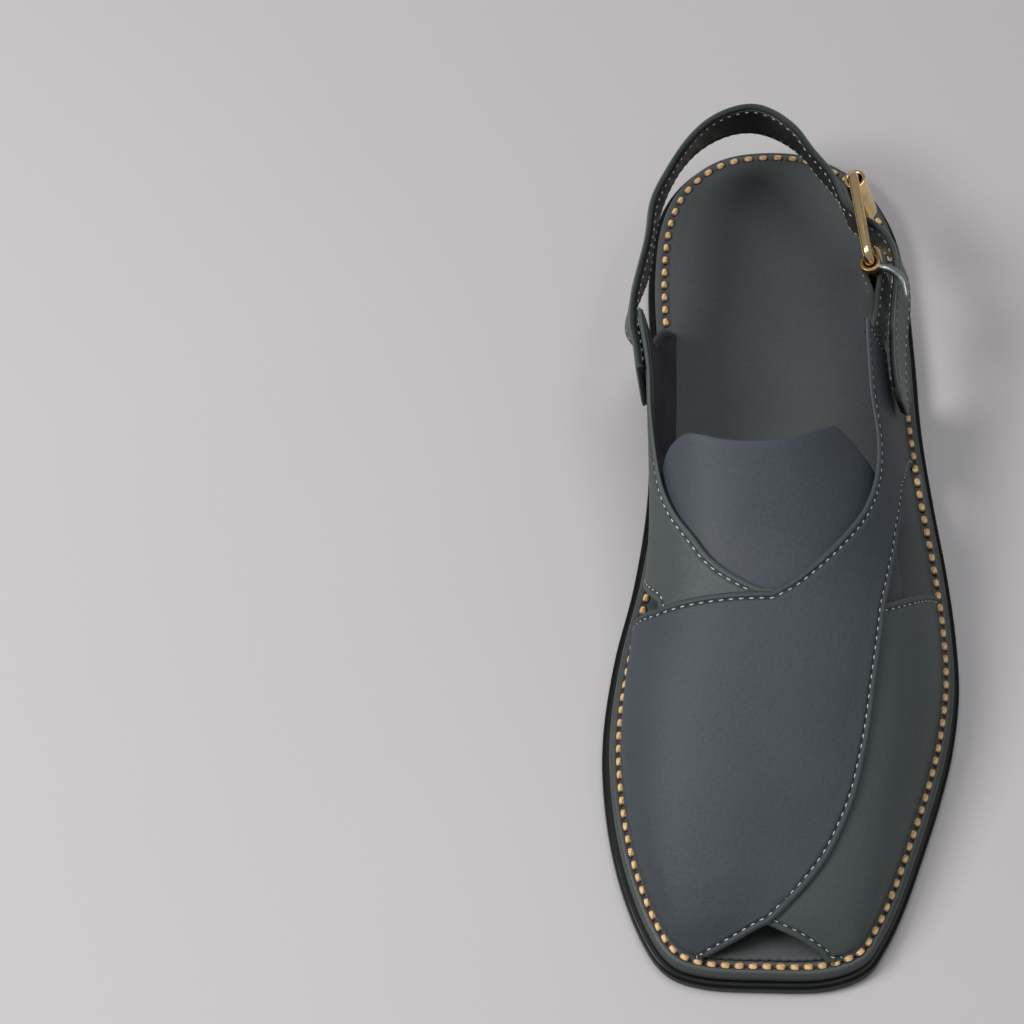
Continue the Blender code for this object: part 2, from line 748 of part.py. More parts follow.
def build_frame(axes, material, parts):
    """Rounded rectangle of gold rod."""
    half = FRAME_HEIGHT / 2
    inner = half - FRAME_CORNER
    points = []
    corners = ((FRAME_CORNER, -inner, 180), (FRAME_REACH - FRAME_CORNER, -inner, 270),
               (FRAME_REACH - FRAME_CORNER, inner, 0), (FRAME_CORNER, inner, 90))
    for rear, up, start in corners:
        for k in range(5):
            turn = math.radians(start + 90 * k / 4)
            points.append(axes.at(rear + FRAME_CORNER * math.cos(turn), 0.0,
                                  up + FRAME_CORNER * math.sin(turn)))
    mesh = tube_path("buckle_frame", points, FRAME_ROD, True, 12)
    add_object("buckle_frame", mesh, material, parts)


def extruded_ring(name, axes, outer, inner, low, high):
    """A wall between two equal closed outlines in the buckle's plane, from low to high."""
    count = len(outer)
    verts = []
    for outline, height in ((outer, low), (outer, high), (inner, low), (inner, high)):
        verts += [axes.at(rear, out, height) for rear, out in outline]
    faces = []
    for i in range(count):
        j = (i + 1) % count
        faces.append([i, j, count + j, count + i])
        faces.append([2 * count + j, 2 * count + i, 3 * count + i, 3 * count + j])
        faces.append([count + i, count + j, 3 * count + j, 3 * count + i])
        faces.append([j, i, 2 * count + i, 2 * count + j])
    return mesh_from(name, verts, faces)


def circle(center, radius, sides):
    return [(center + radius * math.cos(2 * math.pi * k / sides),
             radius * math.sin(2 * math.pi * k / sides)) for k in range(sides)]


def build_roller(axes, material, parts):
    """Open tube that turns on the frame's rear bar."""
    outer = circle(FRAME_REACH, ROLLER_RADIUS, 24)
    inner = circle(FRAME_REACH, ROLLER_RADIUS - ROLLER_WALL, 24)
    mesh = extruded_ring("buckle_roller", axes, outer, inner, -ROLLER_HEIGHT / 2,
                         ROLLER_HEIGHT / 2)
    add_object("buckle_roller", mesh, material, parts)


def build_loop(axes, material, parts):
    """Folded leather that holds the frame's front bar, its tail meeting the lateral arm."""
    hole = FRAME_ROD + 1.6 * GAP
    round_end = hole + LOOP_WALL
    tail = LOOP_WALL + GAP
    outer = []
    inner = []
    sides = 12
    for k in range(sides + 1):
        turn = math.radians(-100 + 200 * k / sides)
        outer.append((round_end * math.cos(turn), round_end * math.sin(turn)))
        inner.append((hole * math.cos(turn), hole * math.sin(turn)))
    for share, side in ((0.30, 1), (0.42, 1), (0.70, 1), (1.0, 1), (1.0, -1), (0.70, -1),
                        (0.42, -1), (0.30, -1)):
        flare = (round_end - tail) * max(0.0, 0.42 - share) / 0.42
        slit = GAP * (1.05 - share)
        outer.append((-LOOP_TAIL * share, side * (tail + flare) - LOOP_BEND * share ** 2))
        inner.append((-LOOP_TAIL * share * 0.8, side * slit - LOOP_BEND * (share * 0.8) ** 2))
    low = -FRAME_HEIGHT / 2 + FRAME_CORNER + GAP
    mesh = extruded_ring("buckle_loop", axes, outer, inner, low, low + LOOP_HEIGHT)
    add_object("buckle_loop", mesh, material, parts)


def build_prong(axes, material, parts, cutters):
    """Steel prong turned forward and outward, its eye round the front bar above the loop."""
    top = FRAME_HEIGHT / 2 - FRAME_CORNER
    hole = FRAME_ROD + 1.2 * GAP
    outer = circle(0.0, hole + 2 * PRONG_ROD * 0.7, 20)
    inner = circle(0.0, hole, 20)
    eye = extruded_ring("buckle_prong", axes, outer, inner, top - PRONG_HEIGHT, top)
    prong = add_object("buckle_prong", eye, material, parts)
    level = top - PRONG_HEIGHT / 2
    points = [axes.at(rear * PRONG_REACH, out * PRONG_REACH, level) for rear, out in PRONG_SHAPE]
    smooth = open_curve(points, 4)
    arm = add_object("prong_arm", tube_path("prong_arm", smooth, PRONG_ROD, False, 10), material,
                     cutters)
    combine(prong, arm, "UNION")
    return prong


def main():
    clear_scene()
    scene = bpy.context.scene
    parts = bpy.data.collections.new("embroidered_chappal")
    cutters = bpy.data.collections.new("cutters")
    scene.collection.children.link(parts)
    scene.collection.children.link(cutters)
    materials = {name: make_material(name) for name in MATERIALS}
    last = Last()
    build_sole(materials, parts)
    build_upper(last, materials["panel_leather"], parts, cutters)
    build_tongue(last, materials["tongue_leather"], parts)
    axes = BuckleAxes(last.middle)
    build_strap(last, axes, materials["strap_leather"], parts)
    build_frame(axes, materials["gold_metal"], parts)
    build_roller(axes, materials["gold_metal"], parts)
    build_loop(axes, materials["panel_leather"], parts)
    build_prong(axes, materials["steel_metal"], parts, cutters)


main()
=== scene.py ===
"""Looks of the embroidered chappal's left shoe: leather, thread, rubber and brass on the solids.

Metres, in the solids' frame: +Z is up, the toe points along -Y, the lateral side is +X.
Stations run from the toe (0) to the heel (1) as shares of LENGTH. Angles on the last run in
degrees from the lateral foot line (0) over the crown (90) to the medial foot line (180).
"""

import json
import math

import bmesh
import bpy
import numpy as np
from mathutils import Matrix, Vector
from mathutils.kdtree import KDTree

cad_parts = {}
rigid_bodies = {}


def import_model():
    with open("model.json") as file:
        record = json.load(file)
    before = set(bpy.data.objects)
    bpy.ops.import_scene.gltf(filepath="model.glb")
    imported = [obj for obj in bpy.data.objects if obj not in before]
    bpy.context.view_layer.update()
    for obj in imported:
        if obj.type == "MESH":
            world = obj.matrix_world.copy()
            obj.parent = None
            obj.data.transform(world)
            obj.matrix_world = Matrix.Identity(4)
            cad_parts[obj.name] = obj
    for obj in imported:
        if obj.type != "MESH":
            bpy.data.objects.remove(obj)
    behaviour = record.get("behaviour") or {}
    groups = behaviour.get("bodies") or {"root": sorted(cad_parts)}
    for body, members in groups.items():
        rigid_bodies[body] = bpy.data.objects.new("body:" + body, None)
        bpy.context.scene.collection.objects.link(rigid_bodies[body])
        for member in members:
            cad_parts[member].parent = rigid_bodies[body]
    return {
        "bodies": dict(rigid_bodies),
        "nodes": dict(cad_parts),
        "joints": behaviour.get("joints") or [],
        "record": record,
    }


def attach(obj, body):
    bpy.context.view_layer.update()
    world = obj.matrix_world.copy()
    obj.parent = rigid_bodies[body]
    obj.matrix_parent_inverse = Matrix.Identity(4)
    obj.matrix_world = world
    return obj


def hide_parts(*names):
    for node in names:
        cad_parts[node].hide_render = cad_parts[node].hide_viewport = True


MM = 0.001

# Sole, as in the solids, with the footbed's rim 0.1 mm nearer to the line of thread
LENGTH = 0.292
BALL_WIDTH = 0.108
BOARD_LOW = 4.8 * MM
BOARD_TOP = 9.3 * MM
FOOTBED_TOP = 10.8 * MM
FOOTBED_INSET = 6.5 * MM
STITCH_INSET = 4.9 * MM

# Points a span of the outline
SOLE_POINTS = 18
FOOTBED_POINTS = 26
LAST_POINTS = 12

# Upper: the solids' last and overlap, and the scene's own walls and turned-out foot
UPPER_INSET = 6.2 * MM
UPPER_FOOT = 11.1 * MM
INSTEP_HEIGHT = 0.057
OVERLAP_STEP = 1.2 * MM
UNDER_WALL = 1.7 * MM
OVER_WALL = 1.15 * MM
FLANGE_REACH = 1.5 * MM
FLANGE_TOP = 9.9 * MM

# Tongue, strap and buckle: sizes as in the solids or close to them, and their own details
TONGUE_THICK = 1.8 * MM
TONGUE_DEPTH = 2.45 * MM
TONGUE_START = 0.34
TONGUE_EDGE = 0.95
TONGUE_EDGE_DROP = 0.25 * MM
STRAP_WIDTH = 0.024
STRAP_BUCKLE_WIDTH = 0.0205
STRAP_HEIGHT = 0.041
STRAP_THICK = 2.2 * MM
STRAP_CLEARANCE = 0.5 * MM
BUCKLE_LEAN = 0.30
FRONT_BAR = (0.25278 * BALL_WIDTH, 0.743151 * LENGTH, 0.81579 * INSTEP_HEIGHT)
REAR_BAR_SHIFT = -3.4 * MM
FRAME_REACH = 0.0317
FRAME_HEIGHT = 0.0270
FRAME_ROD = 1.6 * MM
FRAME_CORNER = 3.2 * MM
CORNER_STEPS = 12
ROLLER_RADIUS = 3.4 * MM
ROLLER_WALL = 1.1 * MM
ROLLER_HEIGHT = 0.0195
LOOP_WALL = 1.4 * MM
LOOP_HEIGHT = 0.0160
LOOP_TAIL = 0.0212
LOOP_BEND = 4.6 * MM
LOOP_LIFT = 0.3 * MM
LOOP_CLEARANCE = 0.35 * MM
LOOP_TAIL_GAP = 0.12 * MM
LOOP_FLARE = 0.42
LOOP_STEPS = 18
LOOP_TURN = 200
LOOP_TAIL_SHARES = (1.0, 0.86, 0.70, 0.56, LOOP_FLARE, 0.36, 0.30)
PRONG_ROD = 1.05 * MM
PRONG_REACH = 0.0165
PRONG_HEIGHT = 2.6 * MM
PRONG_CLEARANCE = 0.36 * MM
PRONG_EYE_WALL = 1.45 * MM
PRONG_RADII = ((0.0, 0.15, 0.6, 1.0), (1.15, 1.3, 1.2, 0.7))
PRONG_SHAPE = ((-0.10, 0.14, 0.0), (-0.26, 0.36, 0.5), (-0.54, 0.53, 0.9), (-0.92, 0.55, 0.7))

# Thread: pitch at toe and heel, or pitch, then length, width and height of a stitch
WELT_PITCH = (4.0 * MM, 4.9 * MM)
WELT_STITCH = (3.8 * MM, 1.9 * MM, 1.5 * MM)
WELT_LIFT = 0.30 * MM
FINE_PITCH = 3.0 * MM
FINE_STITCH = (1.75 * MM, 0.46 * MM, 0.34 * MM)
FINE_LIFT = 0.02 * MM
CHANNEL_PITCH = 4.6 * MM
CHANNEL_STITCH = (3.2 * MM, 0.7 * MM, 0.5 * MM)
CHANNEL_HEIGHT = 0.45 * MM
SEAM_INSET = 2.2 * MM
WELT_BALL = (10, 6)
FINE_BALL = (6, 4)

# Shares at which the foot of a panel is turned out to the thread, and how far it lifts the thread
FLANGE_SHARES = (1.0, 0.66, 0.33)
FLANGE_THREAD_LIFT = 0.42 * MM

# Panel A's lift over panel B: its share at the foot, and the angle at which it is whole
FOOT_LIFT_SHARE = 0.12
LIFT_ANGLE = 38.0
PANEL_STEP = 2.6 * MM

# Distances from a free rim at which a panel has its rows and columns. A block narrower than
# RIM_ROOM times the last of them has them closer together.
RIM_STEPS = np.array([0.0, 0.3, 0.7, 1.2, 1.7, 2.2, 2.7, 3.4, 4.6]) * MM
RIM_ROOM = 2.4

# Sole outline, going round from the toe by the lateral side: share of BALL_WIDTH, share of LENGTH
OUTLINE = (
    (-0.287, 0.005), (-0.120, 0.001), (0.046, 0.002), (0.161, 0.017), (0.221, 0.045),
    (0.278, 0.087), (0.338, 0.144), (0.394, 0.202), (0.438, 0.259), (0.466, 0.322),
    (0.469, 0.384), (0.457, 0.459), (0.431, 0.548), (0.411, 0.637), (0.406, 0.733),
    (0.394, 0.836), (0.357, 0.906), (0.269, 0.962), (0.120, 0.995), (-0.046, 1.000),
    (-0.185, 0.986), (-0.296, 0.949), (-0.359, 0.897), (-0.383, 0.822), (-0.381, 0.733),
    (-0.388, 0.637), (-0.405, 0.541), (-0.446, 0.449), (-0.504, 0.363), (-0.539, 0.281),
    (-0.541, 0.212), (-0.515, 0.137), (-0.459, 0.067), (-0.389, 0.022),
)

# Sections of the last: station, height share of INSTEP_HEIGHT, lean medial, lean lateral, roundness
SECTIONS = (
    (0.0260, 0.036, 0.10, 0.10, 2.60),
    (0.036, 0.104, 0.10, 0.10, 2.58),
    (0.046, 0.160, 0.10, 0.10, 2.57),
    (0.075, 0.254, 0.11, 0.11, 2.52),
    (0.110, 0.333, 0.12, 0.12, 2.46),
    (0.154, 0.421, 0.13, 0.13, 2.38),
    (0.205, 0.509, 0.14, 0.14, 2.31),
    (0.257, 0.588, 0.16, 0.15, 2.26),
    (0.308, 0.658, 0.18, 0.17, 2.21),
    (0.360, 0.719, 0.21, 0.19, 2.18),
    (0.414, 0.789, 0.26, 0.21, 2.15),
    (0.462, 0.886, 0.31, 0.23, 2.17),
    (0.514, 1.000, 0.36, 0.25, 2.20),
    (0.565, 1.140, 0.36, 0.26, 2.28),
    (0.616, 1.368, 0.315, 0.27, 2.35),
    (0.685, 1.754, 0.325, 0.27, 2.41),
    (0.770, 2.193, 0.340, 0.27, 2.46),
)

# Edges of the panels: station, angle of throat lateral, lower edge lateral, throat medial,
# lower edge medial
EDGES = (
    (0.046, 90.0, 91.0, 90.0, 136.0),
    (0.060, 90.0, 84.0, 90.0, 136.0),
    (0.084, 90.0, 73.0, 90.0, 136.0),
    (0.108, 90.0, 65.0, 90.0, 136.0),
    (0.132, 90.0, 60.0, 90.0, 136.0),
    (0.156, 90.0, 56.5, 90.0, 136.0),
    (0.208, 90.0, 54.0, 90.0, 136.0),
    (0.274, 90.0, 53.0, 90.0, 136.0),
    (0.336, 90.0, 50.0, 90.0, 136.0),
    (0.361, 90.0, 48.0, 90.0, 137.0),
    (0.372, 84.0, 46.5, 97.0, 139.0),
    (0.386, 78.0, 44.5, 105.0, 143.0),
    (0.401, 72.0, 42.5, 111.5, 147.0),
    (0.425, 63.0, 38.5, 119.0, 152.0),
    (0.454, 53.0, 34.0, 128.5, 157.0),
    (0.485, 45.0, 27.5, 135.5, 161.0),
    (0.514, 39.4, 22.0, 138.9, 163.5),
    (0.541, 36.1, 18.0, 141.4, 165.0),
    (0.586, 34.3, 15.5, 145.1, 165.6),
    (0.623, 30.9, 14.3, 148.7, 166.1),
    (0.658, 27.6, 13.4, 152.7, 167.5),
    (0.699, 23.6, 11.7, 158.8, 169.8),
)

# Toe opening between the panels: share of BALL_WIDTH from the toe's middle, station
TOE_OPENING_LATERAL = ((0.186, 0.0130), (0.172, 0.0225), (0.090, 0.0360), (-0.003, 0.0478))
TOE_OPENING_MEDIAL = ((-0.190, 0.0130), (-0.178, 0.0225), (-0.088, 0.0345), (-0.003, 0.0478))
TOE_MIDDLE = -0.118
TOE_STATION = 0.0260
TOE_APEX = 0.0478
TOE_FRONT_REACH = 1.9 * MM
TOE_FRONT_SPREAD = 2.3 * MM
TOE_ROUND = 1.6

# Where the blocks of columns part: share of panel B's angles, share of the medial angles, and the
# least angle of a block
UNDER_SPLIT = 0.52
MEDIAL_SPLIT = 0.4
LEAST_ANGLE = 3.0

V_STATION = 0.3613
V_UNDER_STATION = 0.3655
B_SLANT_START = 0.20
B_REAR_SLANT = 18.0 * MM
LEG_LATERAL = (0.505, 0.640)
LEG_LATERAL_SLANT = (22.0 * MM, 6.0 * MM)
LEG_MEDIAL = (0.3720, 0.684)
LEG_MEDIAL_SLANT = (20.0 * MM, 19.0 * MM)
ARM_LATERAL_END = 0.668

# Tongue's end: angle, station
TONGUE_END = (
    (32.0, 0.505), (40.0, 0.521), (47.0, 0.531), (53.0, 0.537), (60.0, 0.530), (70.0, 0.518),
    (82.0, 0.509), (92.0, 0.507), (101.0, 0.510), (110.0, 0.517), (118.0, 0.522),
    (126.0, 0.521), (134.0, 0.518), (143.0, 0.507),
)

# Heel strap's middle line on the medial arm: station, height above the foot line as a share
# of INSTEP_HEIGHT
STRAP_ARM = ((0.610, 0.6228), (0.640, 0.6316), (0.668, 0.6316))

# Then round the heel: share of BALL_WIDTH, share of LENGTH, share of STRAP_HEIGHT, inward lean
# of the top, width from wide (0) to narrow (1)
STRAP_HEEL = (
    (-0.4520, 0.7060, 1.120, 0.06, 0.0),
    (-0.406, 0.7700, 1.110, 0.00, 0.0),
    (-0.385, 0.8220, 1.083, 0.00, 0.0),
    (-0.343, 0.8700, 1.054, 0.12, 0.0),
    (-0.289, 0.9100, 1.033, 0.19, 0.0),
    (-0.225, 0.9390, 1.016, 0.23, 0.0),
    (-0.148, 0.9570, 1.004, 0.26, 0.0),
    (-0.074, 0.9615, 1.000, 0.27, 0.1),
    (-0.005, 0.9510, 1.005, 0.28, 0.3),
    (0.056, 0.9280, 1.030, 0.29, 0.6),
)

# Then through the buckle to its free end: rearward, outward and upward of the front bar as
# shares of FRAME_REACH
STRAP_BUCKLE = (
    (1.50, -0.380, 0.020),
    (1.21, -0.245, 0.015),
    (1.00, -0.187, 0.010),
    (0.80, -0.150, 0.005),
    (0.63, -0.040, 0.000),
    (0.47, 0.105, -0.010),
    (0.31, 0.200, -0.045),
    (0.12, 0.238, -0.090),
    (-0.12, 0.205, -0.145),
    (-0.36, 0.135, -0.195),
    (-0.64, 0.066, -0.245),
    (-0.92, 0.020, -0.285),
    (-1.16, -0.005, -0.315),
    (-1.32, -0.015, -0.335),
)
STRAP_TIP_SPANS = 2.5
STRAP_TIP_WIDTH = 0.45
STRAP_FOLD = 0.7

# Shares of a width at which the strap and the loop have their rows, up to the middle
STRAP_SHARES = (0.0, 0.014, 0.033, 0.06, 0.09, 0.12, 0.16, 0.23, 0.32, 0.41)
LOOP_SHARES = (0.0, 0.02, 0.05, 0.09, 0.13, 0.17, 0.26, 0.38)


def hermite(rows, column):
    """Smooth curve through one column of a table by its first column, for arrays."""
    table = np.array(rows, float)
    xs = table[:, 0]
    ys = table[:, column]
    slopes = np.gradient(ys, xs)

    def value(x):
        x = np.clip(x, xs[0], xs[-1])
        i = np.clip(np.searchsorted(xs, x) - 1, 0, len(xs) - 2)
        step = xs[i + 1] - xs[i]
        t = (x - xs[i]) / step
        start = (1 + 2 * t) * (1 - t) ** 2 * ys[i] + t * (1 - t) ** 2 * step * slopes[i]
        end = t * t * (3 - 2 * t) * ys[i + 1] + t * t * (t - 1) * step * slopes[i + 1]
        return start + end

    return value


def cubic_span(a, b, c, d, t):
    return 0.5 * (2 * b + (c - a) * t + (2 * a - 5 * b + 4 * c - d) * t * t
                  + (3 * b - a - 3 * c + d) * t ** 3)


def closed_curve(points, per):
    """Closed smooth curve through the points, with `per` points a span."""
    pts = np.array(points, float)
    count = len(pts)
    return np.array([cubic_span(pts[i - 1], pts[i], pts[(i + 1) % count], pts[(i + 2) % count],
                                k / per) for i in range(count) for k in range(per)])


def open_curve(points, per):
    """Smooth curve through points of any number of columns."""
    pts = np.array(points, float)
    wide = np.vstack([2 * pts[0] - pts[1], pts, 2 * pts[-1] - pts[-2]])
    line = [cubic_span(*wide[i - 1:i + 3], k / per)
            for i in range(1, len(wide) - 2) for k in range(per)]
    return np.array(line + [pts[-1]])


def inset_curve(loop, distance):
    """A closed loop moved inward by one distance or by one for each point."""
    along = np.roll(loop, -1, 0) - np.roll(loop, 1, 0)
    along /= np.linalg.norm(along, axis=1)[:, None]
    return loop + np.stack([-along[:, 1], along[:, 0]], axis=1) * np.reshape(distance, (-1, 1))


def both_halves(shares):
    """Shares up to the middle, the middle, and the same shares from the other side."""
    shares = np.array(shares)
    return np.concatenate([shares, [0.5], 1 - shares[::-1]])


def sole_outline(per):
    """The sole's outline centred on X and Y, and the X that was taken off."""
    loop = closed_curve([(x * BALL_WIDTH, y * LENGTH) for x, y in OUTLINE], per)
    middle = (loop[:, 0].max() + loop[:, 0].min()) / 2
    return loop - [middle, LENGTH / 2], middle


def sole_line(inset, height):
    """Points round the sole at an inset from its outline and at a height."""
    outline, _ = sole_outline(SOLE_POINTS)
    line = inset_curve(outline, inset)
    return np.column_stack([line, np.full(len(line), height)])


def even_places(line, pitch, closed):
    """Places along a line, one for each length of pitch, and the direction at each."""
    pts = np.vstack([line, line[:1]]) if closed else np.array(line)
    steps = np.linalg.norm(np.diff(pts[:, :3], axis=0), axis=1) / pitch
    along = np.concatenate([[0.0], np.cumsum(steps)])
    count = max(1, int(round(along[-1])))
    at = (np.arange(count) + 0.5) * along[-1] / count
    places = np.stack([np.interp(at, along, pts[:, k]) for k in range(pts.shape[1])], axis=1)
    ahead = np.minimum(at + 0.2, along[-1])
    behind = np.maximum(at - 0.2, 0.0)
    ways = np.stack([np.interp(ahead, along, pts[:, k]) - np.interp(behind, along, pts[:, k])
                     for k in range(3)], axis=1)
    return places, ways / np.linalg.norm(ways, axis=1)[:, None]


class Last:
    """The shape that the panels are pulled over, the same as in the solids."""

    def __init__(self):
        outline, self.middle = sole_outline(LAST_POINTS)
        foot = inset_curve(outline, UPPER_INSET)
        self.ys = np.linspace(foot[:, 1].min() + 0.1 * MM, foot[:, 1].max() - 0.1 * MM, 700)
        ahead = np.roll(foot, -1, 0)
        spans = []
        for y in self.ys:
            crossing = (foot[:, 1] - y) * (ahead[:, 1] - y) < 0
            a, b = foot[crossing], ahead[crossing]
            xs = a[:, 0] + (y - a[:, 1]) / (b[:, 1] - a[:, 1]) * (b[:, 0] - a[:, 0])
            spans.append((xs.min(), xs.max()))
        self.spans = np.array(spans)
        self.thread = inset_curve(outline, STITCH_INSET)
        self.height, self.lean_medial, self.lean_lateral, self.roundness = (
            hermite(SECTIONS, column) for column in (1, 2, 3, 4))

    def point(self, station, angle):
        y = station * LENGTH - LENGTH / 2
        medial = np.interp(y, self.ys, self.spans[:, 0])
        lateral = np.interp(y, self.ys, self.spans[:, 1])
        cosine = np.cos(np.radians(angle))
        power = 2 / self.roundness(station)
        rise = self.height(station) * INSTEP_HEIGHT * np.abs(np.sin(np.radians(angle))) ** power
        share = (1 - cosine) / 2
        lean = self.lean_medial(station) * share + self.lean_lateral(station) * (1 - share)
        reach = (lateral - medial) / 2 * np.sign(cosine) * np.abs(cosine) ** power
        return np.stack([(medial + lateral) / 2 + reach - lean * rise, y + 0 * rise,
                         UPPER_FOOT + rise], axis=-1)

    def toe_reach(self, y):
        """Lateral reach in X of the line of thread at a Y near the toe."""
        near = self.thread[np.abs(self.thread[:, 1] - y) < 0.5 * MM]
        return near[:, 0].max()

    def normal(self, station, angle):
        step = 0.002
        turn = 1.2
        along = self.point(station + step, angle) - self.point(station - step, angle)
        across = (self.point(station, np.minimum(angle + turn, 179.8))
                  - self.point(station, np.maximum(angle - turn, 0.2)))
        normal = np.cross(across, along)
        normal /= np.linalg.norm(normal, axis=-1)[..., None]
        outward = np.stack([np.cos(np.radians(angle)), 0 * angle, np.sin(np.radians(angle))], -1)
        return normal * np.sign((normal * outward).sum(-1))[..., None]

    def angle_of_x(self, station, x):
        """Angle at which a station crosses an X seen from above."""
        angles = np.linspace(4.0, 176.0, 200)
        xs = self.point(np.full(200, station), angles)[:, 0]
        return float(np.interp(-x, -xs, angles))

    def angle_of_height(self, station, height):
        """Angle on the medial side at a height above the foot line."""
        share = height / (self.height(station) * INSTEP_HEIGHT)
        return 180.0 - math.degrees(math.asin(min(1.0, share) ** (self.roundness(station) / 2)))


class Value:
    """A shader socket that takes part in Python arithmetic."""

    def __init__(self, shader, socket):
        self.shader = shader
        self.socket = socket

    def math(self, operation, *others):
        """A math node on this value and the others."""
        return self.shader.node("ShaderNodeMath", {"operation": operation},
                                dict(enumerate([self, *others])))

    def __add__(self, other):
        return self.math("ADD", other)

    def __sub__(self, other):
        return self.math("SUBTRACT", other)

    def __rsub__(self, other):
        return self.shader.node("ShaderNodeMath", {"operation": "SUBTRACT"}, {0: other, 1: self})

    def __mul__(self, other):
        return self.math("MULTIPLY", other)

    __radd__ = __add__
    __rmul__ = __mul__

    def size(self):
        return self.math("ABSOLUTE")

    def sine(self):
        return self.math("SINE")

    def ramp(self, low, high):
        """0 at low, 1 at high, smooth between them."""
        values = {"Value": self, "From Min": low, "From Max": high}
        if low > high:
            values.update({"From Min": high, "From Max": low, "To Min": 1.0, "To Max": 0.0})
        return self.shader.node("ShaderNodeMapRange", {"interpolation_type": "SMOOTHSTEP"}, values)


class Shader:
    """A material whose nodes are made by one method."""

    def __init__(self, name):
        self.material = bpy.data.materials.new(name)
        self.material.use_nodes = True
        self.tree = self.material.node_tree
        self.surface = self.tree.nodes["Principled BSDF"]

    def node(self, kind, settings, values, output=0):
        made = self.tree.nodes.new(kind)
        for key, value in settings.items():
            setattr(made, key, value)
        for key, value in values.items():
            self.feed(made.inputs[key], value)
        return Value(self, made.outputs[output])

    def feed(self, socket, value):
        if isinstance(value, Value):
            self.tree.links.new(value.socket, socket)
        elif socket.type == "RGBA":
            socket.default_value = (*value, 1.0)
        else:
            socket.default_value = value

    def set(self, **values):
        for key, value in values.items():
            self.feed(self.surface.inputs[key.replace("_", " ")], value)

    def place(self):
        return self.node("ShaderNodeTexCoord", {}, {}, "Object")

    def axis(self, name):
        return self.node("ShaderNodeSeparateXYZ", {}, {0: self.place()}, name)

    def attribute(self, name):
        return self.node("ShaderNodeAttribute", {"attribute_name": name}, {}, "Fac")

    def noise(self, scale, detail):
        return self.node("ShaderNodeTexNoise", {}, {"Vector": self.place(), "Scale": scale,
                                                    "Detail": detail}, "Fac")

    def cells(self, scale):
        return self.node("ShaderNodeTexVoronoi", {}, {"Vector": self.place(), "Scale": scale},
                         "Distance")

    def mix(self, share, first, second):
        return self.node("ShaderNodeMix", {"data_type": "RGBA"},
                         {0: share, 6: first, 7: second}, 2)

    def relief(self, height, distance):
        """A bump whose height runs from 0 to 1 over a distance in metres."""
        self.set(Normal=self.node("ShaderNodeBump", {}, {"Height": height, "Strength": 1.0,
                                                          "Distance": distance}))


def leather(name, tone, shade, roughness, grain=0.09 * MM, seam=0.0):
    """Fine grained leather with soft mottling; seam sinks the stitch line and paints shade into its
    groove.
    """
    s = Shader(name)
    patches = s.noise(26.0, 4.0)
    pores = s.cells(950.0)
    fine = s.noise(2600.0, 2.0)
    wrinkles = s.noise(210.0, 5.0)
    color = s.mix(patches.ramp(0.32, 0.70), shade, tone)
    color = s.mix(pores.ramp(0.15, 0.75) * 0.20, color, [c * 1.45 for c in tone])
    height = pores * 0.55 + fine * 0.25 + wrinkles * 0.9
    if seam:
        rim = s.attribute("rim")
        groove = 1 - (rim - SEAM_INSET / MM).size().ramp(0.15, 0.75)
        # Colour made lighter within 0.9 mm of the free rim, on its rounded fold
        lighter_near_rim = 1 - rim.ramp(0.0, 0.9)
        # Painted shade: darker along the sunk stitch groove, where shade falls
        color = s.mix(groove * seam, color, [c * 0.42 for c in tone])
        color = s.mix(lighter_near_rim * 0.35, color, [c * 1.6 for c in tone])
        height = height - groove * 1.6
    s.set(Base_Color=color, Roughness=roughness + (patches - 0.5) * 0.16 + (fine - 0.5) * 0.10,
          Specular_IOR_Level=0.32)
    s.relief(height, grain)
    return s.material


def suede(name, tone, shade):
    s = Shader(name)
    nap = s.noise(1500.0, 3.0)
    patches = s.noise(60.0, 4.0)
    s.set(Base_Color=s.mix(patches.ramp(0.3, 0.7), shade, tone), Roughness=0.86,
          Specular_IOR_Level=0.25)
    s.relief(nap + patches, 0.14 * MM)
    return s.material


def gloss_lining(name):
    s = Shader(name)
    creases = s.noise(180.0, 5.0)
    fine = s.noise(1900.0, 2.0)
    # Painted shade: the colour is darker where the crease noise is low, in the hollows of the bump
    s.set(Base_Color=s.mix(creases.ramp(0.35, 0.7), (0.005, 0.006, 0.005), (0.014, 0.015, 0.013)),
          Roughness=0.30 + (fine - 0.5) * 0.2)
    s.relief(creases * 1.2 + fine * 0.4, 0.12 * MM)
    return s.material


def scored_rubber(name):
    """Black gloss rubber with the tread's scored lines on its underside."""
    s = Shader(name)
    x = s.axis("X")
    y = s.axis("Y")
    width = 0.8 * MM

    def lines(slope, pitch):
        across = (x * math.cos(slope) + y * math.sin(slope)) * (1 / pitch)
        near = (across.math("FRACT") - 0.5).size() * pitch
        return 1 - near.ramp(width * 0.5, width)

    forefoot = 1 - y.ramp(-0.026, -0.025)
    heel = y.ramp(0.076, 0.077)
    crossing = lines(0.42, 15 * MM).math("MAXIMUM", lines(2.55, 17 * MM))
    bands = lines(math.pi / 2, 101 * MM)
    under = 1 - s.axis("Z").ramp(0.4 * MM, 0.6 * MM)
    score = (crossing * (forefoot + heel).math("MINIMUM", 1.0) + bands) * under
    fine = s.noise(900.0, 3.0)
    scuff = s.noise(70.0, 6.0).ramp(0.55, 0.75)
    s.set(Base_Color=s.mix(scuff * 0.4, (0.004, 0.0055, 0.005), (0.014, 0.016, 0.015)),
          Roughness=0.30 + scuff * 0.16 + fine * 0.06, Specular_IOR_Level=0.16)
    s.relief(fine * 0.10 - score * 2.0, 0.35 * MM)
    return s.material


